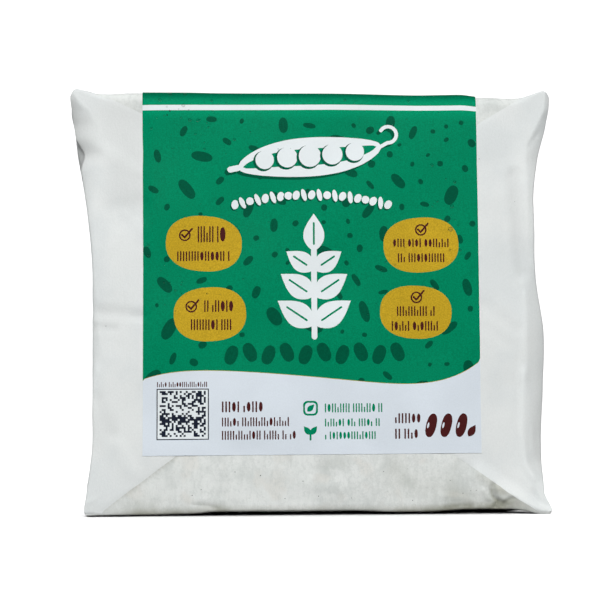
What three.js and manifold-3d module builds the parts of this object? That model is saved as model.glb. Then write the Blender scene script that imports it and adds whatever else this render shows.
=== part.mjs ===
// A pressed cake in white paper, standing on one long narrow side, with a label wrapped over its top.
// Millimetres. +Z is up, the front faces -Y, and the pack stands on Z = 0.
// The wrap is a rounded block whose paper reaches past the side walls at the corners, where it is
// pinched into flat points. The two side flaps are folded over the front and lie on top of it.

import * as THREE from 'three';
import { mergeVertices } from 'three/addons/utils/BufferGeometryUtils.js';
import Module from 'manifold-3d';

// The block
const WIDTH = 117.2; // between the side walls at the waist
const DEPTH = 27;
const HEIGHT = 111.8;
const EDGE = 4.5; // radius of the rounded edges
const LOW_EDGE = 3; // the same where the pack stands on its edges
const LOW_EDGE_REACH = 30; // height at which the edges have their full radius
const CORNER_POWER = 5; // 2 would round the corners as seen from the front, and more sharpens them
const LEAN = 2; // how far the front is set back at the top
const PILLOW = 1.1; // how far the middle of the front and the back stands out
const LUMP = 0.22; // uneven rise of the pressed beans under the paper
const LUMP_LENGTHS = [7.1, 5.3]; // spacing of those rises across and up

// How the paper reaches past a side wall: each step goes from none to its full reach between heights
const REACH_STARTS = 43; // distance from the middle where the front begins to widen
const LEFT_REACH = [
  { out: 7.2, from: 61.5, to: 126 },
  { out: 2.1, from: 22, to: 0 },
];
const RIGHT_REACH = [
  { out: 5.5, from: 85, to: 119 },
  { out: -0.5, from: 94, to: 82 },
  { out: 2.5, from: 68, to: 46 },
  { out: -1.1, from: 43, to: 18 },
  { out: 2.2, from: 8, to: 2 },
];

// The corners, where the paper is pinched towards the depth of its fold
const CORNERS = [
  { side: -1, z: HEIGHT, length: 34, pinch: 0.74, fold: -10 },
  { side: 1, z: HEIGHT, length: 27, pinch: 0.74, fold: -10 },
  { side: -1, z: 0, length: 22, pinch: 0.5, fold: -10 },
  { side: 1, z: 0, length: 15, pinch: 0.66, fold: -9 },
];

// Rises and dips of the top edge, and the lifts of the front's lower edge off the table
const TOP_EDGE_LENGTH = 12;
const TOP_EDGE = [
  { x: -64, reach: 9, rise: 1.3 },
  { x: -60, reach: 10, rise: -0.25 },
  { x: 30, reach: 28, rise: -0.4 },
  { x: 52, reach: 13, rise: -1.05 },
  { x: 64, reach: 9, rise: 1 },
];
const LOWER_EDGE_LENGTH = 9;
const LOWER_EDGE = [
  { x: -24, reach: 8, rise: 0.8 },
  { x: 46, reach: 13, rise: 1.3 },
];

// The folded side flaps: their edge on the front, from the lower corner up and in, then out to the top
const FLAP_RISE = 0.6; // layers of paper that lie on the front
const FLAP_ROOT = -0.5; // the flap solid starts inside the block, so that the two fuse
const LEFT_FLAP = [[-56.6, 0], [-34.6, 15.7], [-34.6, 99.7], [-55, HEIGHT]];
const RIGHT_FLAP = [[53.8, 0], [36.7, 15.5], [36.7, 100.4], [55.5, HEIGHT]];

// The label
const LABEL_LEFT = -45.3;
const LABEL_RIGHT = 44;
const LABEL_BOTTOM = 15.7;
const LABEL_TAIL = 88; // its end on the back
const LABEL_INNER = 0.9; // clear of the flaps below it
const LABEL_OUTER = 1.3;

const CORE = new THREE.Vector3(WIDTH / 2 - EDGE, DEPTH / 2 - EDGE, HEIGHT / 2 - EDGE);
const HALF = new THREE.Vector3(WIDTH / 2, DEPTH / 2, HEIGHT / 2);

/** Goes smoothly from 0 at one value to 1 at the other, in either direction. */
function smooth(from, to, value) {
  const t = THREE.MathUtils.clamp((value - from) / (to - from), 0, 1);
  return t * t * (3 - 2 * t);
}

/** 1 at the centre of a stretch, fading to 0 at its reach. */
function bump(centre, reach, value) {
  return smooth(reach, 0, Math.abs(value - centre));
}

/** Widens the block to the reach of its paper at this height. */
function widen(point, side, atWall) {
  const steps = side < 0 ? LEFT_REACH : RIGHT_REACH;
  const reach = steps.reduce((sum, step) => sum + step.out * smooth(step.from, step.to, point.z), 0);
  point.x += side * atWall * reach;
}

/** Flattens the corners of one side into points. */
function pinchCorners(point, side, atWall) {
  for (const corner of CORNERS.filter((c) => c.side === side)) {
    const near = atWall * smooth(corner.length, 0, Math.abs(point.z - corner.z));
    point.y += (corner.fold - point.y) * corner.pinch * near;
  }
}

/** Swells the two large faces a little, unevenly, and sets the top of the front back. */
function swell(point) {
  const facing = point.y / HALF.y;
  const across = 1 - (point.x / HALF.x) ** 2;
  const up = 1 - (point.z / HALF.z - 1) ** 2;
  const middle = Math.max(across, 0) * Math.max(up, 0);
  const lump = Math.sin(point.x / LUMP_LENGTHS[0] + 0.7) * Math.sin(point.z / LUMP_LENGTHS[1] + facing);
  point.y += facing * (PILLOW * Math.sqrt(middle) + LUMP * lump);
  point.y += LEAN * THREE.MathUtils.clamp(-facing, 0, 1) * (point.z / HEIGHT);
}

/** Raises and lowers the top edge, and lifts the front's lower edge where it is off the table. */
function unevenEdges(point) {
  const { x, y, z } = point;
  const atTop = smooth(HEIGHT - TOP_EDGE_LENGTH, HEIGHT, z);
  const atFront = smooth(LOWER_EDGE_LENGTH, 0, z) * smooth(LOW_EDGE - HALF.y, -HALF.y, y);
  for (const part of TOP_EDGE) point.z += part.rise * atTop * bump(part.x, part.reach, x);
  for (const part of LOWER_EDGE) point.z += part.rise * atFront * bump(part.x, part.reach, x);
}

/** Draws a rounded direction out into the crisper corners that folded paper has, seen from the front. */
function sharpened(outward) {
  const seen = Math.hypot(outward.x, outward.z);
  if (seen === 0) return outward.clone();
  const power = Math.abs(outward.x / seen) ** CORNER_POWER + Math.abs(outward.z / seen) ** CORNER_POWER;
  const factor = power ** (-1 / CORNER_POWER);
  return new THREE.Vector3(outward.x * factor, outward.y, outward.z * factor);
}

/** The point of the pack for a point of the block's box, at a height above the paper's surface. */
function onPack(box, rise) {
  const edge = THREE.MathUtils.lerp(LOW_EDGE, EDGE, smooth(0, LOW_EDGE_REACH, box.z + HALF.z));
  const core = HALF.clone().subScalar(edge);
  const inner = box.clone().clamp(core.clone().negate(), core);
  const outward = box.clone().sub(inner).normalize();
  const point = inner.addScaledVector(sharpened(outward), edge);
  point.z += HEIGHT / 2;
  const side = Math.sign(point.x);
  const atWall = smooth(REACH_STARTS, HALF.x, Math.abs(point.x));
  swell(point);
  widen(point, side, atWall);
  pinchCorners(point, side, atWall);
  unevenEdges(point);
  return point.addScaledVector(outward, rise);
}

/** Even steps from one value to another, both ends included. */
function steps(from, to, count) {
  return Array.from({ length: count + 1 }, (_, i) => THREE.MathUtils.lerp(from, to, i / count));
}

/** Joins stretches that share their end values. */
function chain(...stretches) {
  return stretches.flatMap((stretch, i) => (i ? stretch.slice(1) : stretch));
}

// Grid lines of the box, shared by the wrap, the flaps and the label so that they lie parallel
const ROUND_STEPS = 2;
const LINES_X = chain(
  steps(-HALF.x, -CORE.x, ROUND_STEPS),
  steps(-CORE.x, LABEL_LEFT, 2),
  steps(LABEL_LEFT, LABEL_RIGHT, 18),
  steps(LABEL_RIGHT, CORE.x, 2),
  steps(CORE.x, HALF.x, ROUND_STEPS),
);
const LINES_Y = chain(
  steps(-HALF.y, -CORE.y, ROUND_STEPS),
  steps(-CORE.y, CORE.y, 3),
  steps(CORE.y, HALF.y, ROUND_STEPS),
);
const LINES_Z = chain(
  steps(-HALF.z, -CORE.z, ROUND_STEPS),
  steps(-CORE.z, LABEL_BOTTOM - HALF.z, 3),
  steps(LABEL_BOTTOM - HALF.z, LABEL_TAIL - HALF.z, 15),
  steps(LABEL_TAIL - HALF.z, CORE.z, 5),
  steps(CORE.z, HALF.z, ROUND_STEPS),
);

/** Two triangles for each cell of a grid of vertex numbers. */
function gridTriangles(rows, triangles) {
  for (let r = 0; r + 1 < rows.length; r++) {
    for (let c = 0; c + 1 < rows[r].length; c++) {
      const [a, b] = [rows[r][c], rows[r][c + 1]];
      const [d, e] = [rows[r + 1][c], rows[r + 1][c + 1]];
      triangles.push(a, b, e, a, e, d);
    }
  }
}

/** A closed geometry of points and triangles, turned inside out if its faces point in. */
function closedGeometry(points, triangles) {
  const geometry = new THREE.BufferGeometry();
  geometry.setAttribute('position', new THREE.Float32BufferAttribute(points.flatMap((p) => p.toArray()), 3));
  const volume = new THREE.Vector3();
  let sum = 0;
  for (let i = 0; i < triangles.length; i += 3) {
    const [a, b, c] = [points[triangles[i]], points[triangles[i + 1]], points[triangles[i + 2]]];
    sum += volume.crossVectors(a, b).dot(c);
  }
  geometry.setIndex(sum < 0 ? triangles.toReversed() : triangles);
  return mergeVertices(geometry, 1e-3);
}

/** The wrap: the six sides of the box, each a grid, laid onto the pack. */
function wrapGeometry() {
  const points = [];
  const triangles = [];
  const sides = [
    { u: LINES_X, v: LINES_Z, at: (u, v) => [u, -HALF.y, v], turned: false },
    { u: LINES_X, v: LINES_Z, at: (u, v) => [u, HALF.y, v], turned: true },
    { u: LINES_X, v: LINES_Y, at: (u, v) => [u, v, HALF.z], turned: false },
    { u: LINES_X, v: LINES_Y, at: (u, v) => [u, v, -HALF.z], turned: true },
    { u: LINES_Y, v: LINES_Z, at: (u, v) => [HALF.x, u, v], turned: false },
    { u: LINES_Y, v: LINES_Z, at: (u, v) => [-HALF.x, u, v], turned: true },
  ];
  for (const side of sides) {
    const rows = side.v.map((v) => side.u.map((u) => {
      points.push(onPack(new THREE.Vector3(...side.at(u, v)), 0));
      return points.length - 1;
    }));
    gridTriangles(side.turned ? rows.toReversed() : rows, triangles);
  }
  return closedGeometry(points, triangles);
}

/** A closed sheet over a grid of box points, between two rises. */
function sheetGeometry(grid, innerRise, outerRise) {
  const points = [];
  const triangles = [];
  const layer = (rise) => grid.map((row) => row.map((box) => {
    points.push(onPack(box, rise));
    return points.length - 1;
  }));
  const outer = layer(outerRise);
  const inner = layer(innerRise);
  gridTriangles(outer, triangles);
  gridTriangles(inner.toReversed(), triangles);
  const last = grid.length - 1;
  const end = grid[0].length - 1;
  gridTriangles([inner[0], outer[0]], triangles);
  gridTriangles([outer[last], inner[last]], triangles);
  gridTriangles([outer.map((row) => row[0]), inner.map((row) => row[0])], triangles);
  gridTriangles([inner.map((row) => row[end]), outer.map((row) => row[end])], triangles);
  return closedGeometry(points, triangles);
}

/** Where a flap's edge lies on the front at a height. */
function flapEdge(outline, z) {
  const next = outline.findIndex((corner, i) => i > 0 && z <= corner[1] + 1e-6);
  const [x0, z0] = outline[next - 1];
  const [x1, z1] = outline[next];
  return THREE.MathUtils.lerp(x0, x1, (z - z0) / (z1 - z0));
}

/** A side flap: from its edge on the front and round the side wall to the back. */
function flapGeometry(outline, side) {
  const frontShares = [0, 0.2, 0.4, 0.6, 0.8, 0.9];
  const grid = LINES_Z.map((z) => {
    const edge = flapEdge(outline, z + HALF.z);
    const front = frontShares.map((t) => {
      const x = THREE.MathUtils.lerp(edge, side * HALF.x, t);
      return new THREE.Vector3(x, -HALF.y, z);
    });
    const wall = LINES_Y.map((y) => new THREE.Vector3(side * HALF.x, y, z));
    return [...front, ...wall];
  });
  return sheetGeometry(grid, FLAP_ROOT, FLAP_RISE);
}

/** The label: up the front, over the top and a little way down the back. */
function labelGeometry() {
  const across = LINES_X.filter((x) => x >= LABEL_LEFT - 1e-6 && x <= LABEL_RIGHT + 1e-6);
  const path = chain(
    LINES_Z.filter((z) => z >= LABEL_BOTTOM - HALF.z - 1e-6).map((z) => [-HALF.y, z]),
    LINES_Y.map((y) => [y, HALF.z]),
    LINES_Z.filter((z) => z >= LABEL_TAIL - HALF.z - 1e-6).map((z) => [HALF.y, z]).toReversed(),
  );
  const grid = path.map(([y, z]) => across.map((x) => new THREE.Vector3(x, y, z)));
  return sheetGeometry(grid, LABEL_INNER, LABEL_OUTER);
}

const wasm = await Module();
wasm.setup();

/** A solid for joining, from a closed geometry with merged vertices. */
function toSolid(geometry) {
  const mesh = new wasm.Mesh({
    numProp: 3,
    vertProperties: new Float32Array(geometry.attributes.position.array),
    triVerts: new Uint32Array(geometry.index.array),
  });
  return new wasm.Manifold(mesh);
}

/** The geometry of a joined solid. */
function fromSolid(solid) {
  const mesh = solid.getMesh();
  const geometry = new THREE.BufferGeometry();
  geometry.setAttribute('position', new THREE.BufferAttribute(mesh.vertProperties, 3));
  geometry.setIndex(new THREE.BufferAttribute(mesh.triVerts, 1));
  return geometry;
}

/** The block with both flaps folded onto it, as one body. */
function wrappedCakeGeometry() {
  const flaps = [flapGeometry(LEFT_FLAP, -1), flapGeometry(RIGHT_FLAP, 1)];
  return fromSolid(flaps.reduce((body, flap) => body.add(toSolid(flap)), toSolid(wrapGeometry())));
}

const paper = new THREE.MeshStandardMaterial({ color: 0xdee2e1, roughness: 0.72, metalness: 0 });
const print = new THREE.MeshStandardMaterial({ color: 0x008558, roughness: 0.42, metalness: 0 });

const wrappedCake = new THREE.Mesh(wrappedCakeGeometry(), paper);
wrappedCake.name = 'wrapped_cake';

const label = new THREE.Mesh(labelGeometry(), print);
label.name = 'label';

const pack = new THREE.Group();
pack.add(wrappedCake, label);

export default pack;
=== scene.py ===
"""A pressed bean cake wrapped in white paper, standing on one long narrow side.

The paper wrap, its side flaps, the overlap on the back, the printed label, the drops of water on it and
a few bran flecks are laid onto one form: a rounded block with pinched paper corners. Lengths are in
millimetres; only the finished meshes, the camera and the lights are in metres. +Z is up, the front
faces -Y, and the pack stands on Z = 0. A point on the box is measured from the box's centre.
"""

import logging
import math
from collections.abc import Callable, Iterable, Sequence
from dataclasses import dataclass, field
from enum import Enum
from functools import partial

import bpy
import numpy as np
from mathutils import Matrix, Vector, noise
from mathutils.geometry import delaunay_2d_cdt


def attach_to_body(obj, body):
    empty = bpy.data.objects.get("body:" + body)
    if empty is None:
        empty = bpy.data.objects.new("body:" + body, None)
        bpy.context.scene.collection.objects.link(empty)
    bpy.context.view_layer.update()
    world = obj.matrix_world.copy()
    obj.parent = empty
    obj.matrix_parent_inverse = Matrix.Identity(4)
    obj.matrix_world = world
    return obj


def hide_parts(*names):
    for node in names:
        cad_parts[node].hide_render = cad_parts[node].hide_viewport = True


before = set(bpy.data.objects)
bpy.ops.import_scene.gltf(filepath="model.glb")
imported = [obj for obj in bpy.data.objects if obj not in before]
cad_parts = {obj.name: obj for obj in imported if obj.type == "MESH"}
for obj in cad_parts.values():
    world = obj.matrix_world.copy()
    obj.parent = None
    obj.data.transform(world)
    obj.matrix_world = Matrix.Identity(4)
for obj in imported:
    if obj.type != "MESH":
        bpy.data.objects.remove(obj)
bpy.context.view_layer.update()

LOG = logging.getLogger("pack")
METRES = 0.001  # metres in a millimetre
BODY = "root"
RIM_ANGLE = math.radians(50.0)  # faces that meet at more than this are shaded apart
SPAN = (0.3, 0.7)  # the range that most of a noise's values lie in
FULL_TURN = 2.0 * np.pi
MIX_INPUTS = (0, 6, 7)  # the mixing node's sockets for the share and for the two colours
MIX_OUTPUT = 2

Array = np.ndarray
Values = np.ndarray | float
Point2 = tuple[float, float]
Point3 = tuple[float, float, float]
Colour = Point3
Faces = list[tuple[int, ...]]
Inputs = dict[str | int, object]
Material, Object = bpy.types.Material, bpy.types.Object
Node, NodeTree, Socket = bpy.types.Node, bpy.types.NodeTree, bpy.types.NodeSocket


# ---- Small mathematics ----


def smooth(start: Values, end: Values, value: Values) -> Array:
    """Goes smoothly from 0 where the value is at start to 1 where it is at end, in either direction."""
    t = np.clip((value - start) / (end - start), 0.0, 1.0)
    return t * t * (3.0 - 2.0 * t)


def bump(centre: float, reach: float, value: Values) -> Array:
    """1 at the centre of a stretch, fading smoothly to 0 at its reach."""
    return smooth(reach, 0.0, np.abs(value - centre))


def plateau(start: float, full: float, last: float, end: float, value: Values) -> Array:
    """Rises to 1 between two values, and falls to 0 again between two others."""
    return smooth(start, full, value) * smooth(end, last, value)


def steps(start: float, end: float, count: int) -> list[float]:
    """Even steps from one value to another: count + 1 values, both ends included."""
    return [start + (end - start) * i / count for i in range(count + 1)]


def chain(first: Sequence[float], *others: Sequence[float]) -> list[float]:
    """Joins stretches that share their end values into one list without the doubled values."""
    return [*first, *(value for stretch in others for value in stretch[1:])]


def noise_at(points: Array, size: float, seed: float) -> Array:
    """Smooth random values, about -1 to 1, that change over a length of this size."""
    return np.array([noise.noise(Vector(place)) for place in points / size + seed])


def distance_to(path: Sequence[Point2], places: Array) -> Array:
    """How far places in a plane lie from a path of straight stretches.

    Args:
        path: The points that the path joins.
        places: The places, in the last axis.

    Returns:
        One distance for each place.
    """
    nearest = np.full(places.shape[:-1], np.inf)
    for start, end in zip(path, path[1:]):
        along, offset = np.subtract(end, start), places - np.array(start)
        share = np.clip(offset @ along / (along @ along), 0.0, 1.0)
        nearest = np.minimum(nearest, np.linalg.norm(offset - share[..., None] * along, axis=-1))
    return nearest


# ---- The form of the pack ----


class Face(Enum):
    """A side of the block: the axis it faces, its direction, and the two axes of its plane."""

    FRONT = (1, -1.0, 0, 2)
    BACK = (1, 1.0, 0, 2)
    LEFT = (0, -1.0, 1, 2)
    RIGHT = (0, 1.0, 1, 2)


@dataclass(frozen=True)
class Reach:
    """How far the paper stands out past a side wall, from none to all between two heights."""

    side: int
    out: float
    start: float
    end: float


@dataclass(frozen=True)
class Corner:
    """A corner where the paper is pinched towards the depth of its fold."""

    side: int
    height: float
    length: float
    pinch: float
    fold: float


@dataclass(frozen=True)
class EdgeRise:
    """A rise or dip of the top edge."""

    centre: float
    reach: float
    rise: float


@dataclass(frozen=True)
class Tuck:
    """A stretch of a side where the front's edge is drawn in, so that the wall behind it shows."""

    side: int
    height: float
    reach: float
    depth: float


@dataclass(frozen=True)
class TurnedEdge:
    """A strip of the front along a side that is turned back, from a ridge out to the side's edge.

    Each station gives a height, the ridge's distance from the middle there, and how far the edge is
    turned back. A power of 1 gives a straight fold at the ridge, and more a curve that steepens outwards.
    """

    side: int
    power: float
    stations: tuple[Point3, ...]


@dataclass(frozen=True)
class Trim:
    """A corner that is folded in: what stands out past a line is drawn back to it.

    The line's two ends are given anticlockwise as seen from the front.
    """

    start: Point2
    end: Point2
    left_over: float = 0.12
    softness: float = 0.25


@dataclass(frozen=True)
class Crease:
    """A ridge or, with a negative height, a valley in the paper along a path.

    The path is given on the face: across and up for the front and the back, depth and height for the
    side walls. crisp goes from 0, a soft swell, to 1, a sharp fold.
    """

    face: Face
    path: tuple[Point2, ...]
    width: float
    height: float
    crisp: float = 0.3


REACHES = (
    Reach(-1, 7.2, 61.5, 126.0), Reach(-1, 1.9, 22.0, 0.0), Reach(1, 5.2, 85.0, 119.0),
    Reach(1, -0.5, 94.0, 82.0), Reach(1, 2.5, 68.0, 46.0), Reach(1, -1.1, 43.0, 18.0),
    Reach(1, 1.9, 6.3, 1.2), Reach(1, 0.5, 95.0, 103.0), Reach(1, -0.5, 106.0, 112.0),
    Reach(-1, 0.3, 6.0, 1.0),
)
CORNERS = (
    Corner(-1, 111.8, 34.0, 0.74, -10.0), Corner(1, 111.8, 27.0, 0.74, -8.6),
    Corner(-1, 0.0, 22.0, 0.5, -14.4), Corner(1, 0.0, 16.0, 0.7, -16.8),
)
TOP_EDGE = (
    EdgeRise(-64.0, 9.0, 1.3), EdgeRise(-58.5, 10.0, -0.45), EdgeRise(30.0, 28.0, -0.4),
    EdgeRise(43.0, 5.0, -0.3), EdgeRise(52.0, 13.0, -1.05), EdgeRise(63.0, 8.0, 1.3),
)
LOWER_EDGE = (  # where the lower edge is off the table: start, full from, full to, end and height
    (-68.0, -64.0, 54.0, 59.0, 0.55), (-44.0, -36.0, 54.0, 59.0, 0.2), (-34.0, -26.0, 10.0, 20.0, 0.52),
    (10.0, 20.0, 54.0, 59.0, 0.15), (28.0, 40.0, 50.0, 57.0, 0.55),
)
TUCKS = (Tuck(-1, 95.6, 4.8, 1.6),)
TRIMS = (
    Trim((-63.2, 112.9), (-65.0, 110.3)), Trim((62.5, 111.9), (61.4, 113.0)),
    Trim((-61.9, 2.4), (-60.3, 0.2)), Trim((60.5, -0.3), (61.5, 2.3)),
)
TURNED_EDGES = (
    TurnedEdge(-1, 1.6, (
        (36.0, 56.0, 0.0), (41.0, 55.8, 0.9), (46.0, 56.8, 0.8), (50.0, 57.3, 0.4), (62.0, 57.6, 0.1),
        (78.0, 57.2, 0.2), (84.0, 55.4, 1.0), (88.6, 54.2, 1.8), (95.0, 53.0, 3.0), (103.4, 53.4, 3.3),
        (106.6, 54.6, 2.1), (109.0, 56.6, 0.8), (111.5, 58.2, 0.0),
    )),
    TurnedEdge(1, 1.3, (
        (7.5, 58.3, 0.0), (8.9, 57.1, 0.5), (10.1, 56.1, 1.0), (11.5, 55.1, 1.5), (13.8, 54.5, 2.1),
        (20.0, 54.2, 2.4), (26.0, 54.5, 2.3), (30.0, 54.6, 2.2), (35.0, 54.0, 2.3), (46.0, 53.6, 2.3),
        (56.6, 54.6, 1.5), (66.0, 55.6, 0.4), (78.0, 57.0, 0.3), (85.0, 56.8, 0.5), (88.6, 56.4, 0.9),
        (94.0, 55.2, 1.9), (97.8, 55.0, 1.8), (101.4, 55.6, 1.7), (105.0, 56.6, 1.3), (107.0, 57.3, 0.8),
        (110.4, 57.4, 0.7), (112.5, 57.5, 0.5),
    )),
)
CREASES = tuple(
    Crease(face, *shape)
    for face, shapes in (
        (Face.FRONT, (
            # Left flap: two dents at mid height, the fold line below them, and soft slanting ridges
            (((-45.5, 53.0), (-57.0, 53.8)), 2.7, -0.34, 0.35),
            (((-45.2, 52.2), (-48.5, 52.6)), 1.2, -0.25, 0.8),
            (((-53.0, 49.4), (-60.5, 49.9)), 1.9, -0.24, 0.3),
            (((-59.2, 48.2), (-57.6, 38.0)), 1.7, 0.2, 0.4),
            (((-54.6, 97.3), (-46.5, 91.0)), 2.6, 0.14, 0.1),
            # a broad shallow dent, which mainly paints shade on the flap through the crease tint
            (((-49.0, 104.0), (-49.0, 83.0)), 9.0, -0.6, 0.0),
            (((-53.5, 81.3), (-45.5, 83.2)), 2.8, -0.14, 0.2),
            (((-49.5, 79.6), (-45.0, 75.0)), 1.9, 0.12, 0.3),
            (((-57.5, 31.0), (-54.0, 22.0)), 3.0, -0.22, 0.1),
            (((-51.5, 19.0), (-47.5, 12.0)), 3.0, 0.2, 0.1), (((-60.5, 2.4), (-56.6, 4.6)), 1.0, 0.16, 0.5),
            # Right flap: a long valley, the fold that runs down to the lower tip, and the wedge by the ear
            (((52.6, 90.0), (53.3, 86.0), (53.9, 78.0), (54.5, 70.0), (54.9, 64.0)), 3.0, -0.46, 0.15),
            # a broad shallow dent, which mainly paints shade on the flap through the crease tint
            (((48.0, 92.0), (48.0, 82.0)), 9.0, -0.2, 0.0),
            (((55.0, 58.0), (53.6, 46.0), (53.4, 36.0)), 1.8, 0.14, 0.2),
            (((53.4, 38.0), (53.2, 22.0), (53.6, 17.0), (54.2, 13.0), (56.2, 9.8)), 1.5, 0.34, 0.4),
            (((51.2, 25.0), (51.8, 22.0), (52.6, 17.6)), 1.1, -0.14, 0.3),
            (((55.9, 23.0), (56.2, 16.4)), 1.0, 0.16, 0.6), (((57.0, 101.6), (55.6, 97.6)), 1.1, -0.16, 0.4),
            (((44.8, 55.8), (51.6, 49.2)), 2.6, -0.18, 0.1), (((44.8, 49.5), (50.4, 45.2)), 2.4, -0.12, 0.1),
            (((56.0, 6.2), (56.0, 4.4), (56.8, 3.2), (58.6, 2.6)), 1.1, -0.3, 0.4),
            (((42.6, 11.0), (50.2, 4.9), (53.0, 2.0), (58.6, 0.9)), 4.2, 0.62, 0.4),
            # Lower band: the notch by the right flap, the dents beside it, and shallow upright ridges
            (((46.2, 8.2), (45.7, 6.2), (46.0, 4.0), (47.0, 2.4), (46.4, 0.6)), 0.9, -0.55, 0.9),
            (((47.2, 6.6), (47.7, 4.2), (48.4, 2.8)), 1.4, 0.4, 0.7),
            (((50.4, 3.6), (48.6, 2.2), (48.2, 0.8)), 0.9, -0.45, 0.8),
            (((43.6, 6.2), (44.9, 3.4)), 1.5, 0.34, 0.5),
            (((33.6, 0.9), (37.0, 1.3), (40.0, 0.8)), 1.4, -0.14, 0.6),
            (((33.0, 4.6), (37.4, 3.8), (41.0, 2.6)), 1.7, 0.14, 0.3),
            (((-21.0, 15.0), (-20.6, 4.0)), 2.3, 0.15, 0.2),
            (((-32.4, 2.6), (-29.0, 2.0), (-26.6, 1.2)), 1.1, -0.2, 0.5),
            (((-30.0, 4.4), (-24.6, 3.2)), 1.7, 0.1, 0.3), (((-3.0, 9.0), (6.0, 7.4)), 3.2, 0.14, 0.1),
            (((22.0, 14.0), (24.0, 6.0)), 2.4, 0.14, 0.2),
        )),
        (Face.LEFT, (
            # Side walls: folds that spread from the pinched corners, and the wall's slack paper
            (((-8.0, 106.0), (0.0, 84.0), (5.0, 62.0)), 2.8, 0.34, 0.8),
            (((-6.0, 102.0), (12.0, 82.0)), 3.6, -0.4, 0.5),
            (((-8.0, 8.0), (-1.0, 26.0), (4.0, 44.0)), 2.8, 0.3, 0.8),
            (((-11.0, 54.0), (11.0, 46.0)), 3.6, -0.35, 0.3),
        )),
        (Face.RIGHT, (
            (((-8.0, 106.0), (-1.0, 88.0), (4.0, 66.0)), 2.8, 0.34, 0.8),
            (((-5.0, 102.0), (12.0, 86.0)), 3.6, -0.4, 0.5),
            (((-7.0, 8.0), (0.0, 20.0), (8.0, 30.0)), 2.8, 0.3, 0.8),
            (((-9.0, 66.0), (8.0, 38.0)), 3.6, -0.36, 0.3),
        )),
        (Face.BACK, (
            # Back: long soft folds from the corners
            (((-57.0, 104.0), (-38.0, 84.0)), 3.4, 0.3, 0.3), (((56.0, 104.0), (42.0, 86.0)), 3.0, 0.3, 0.3),
            (((-56.0, 8.0), (-44.0, 20.0)), 3.0, 0.25, 0.3), (((55.0, 8.0), (40.0, 24.0)), 3.0, 0.25, 0.3),
            (((-20.0, 60.0), (18.0, 52.0)), 4.0, -0.18, 0.1),
        )),
    )
    for shape in shapes
)


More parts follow.
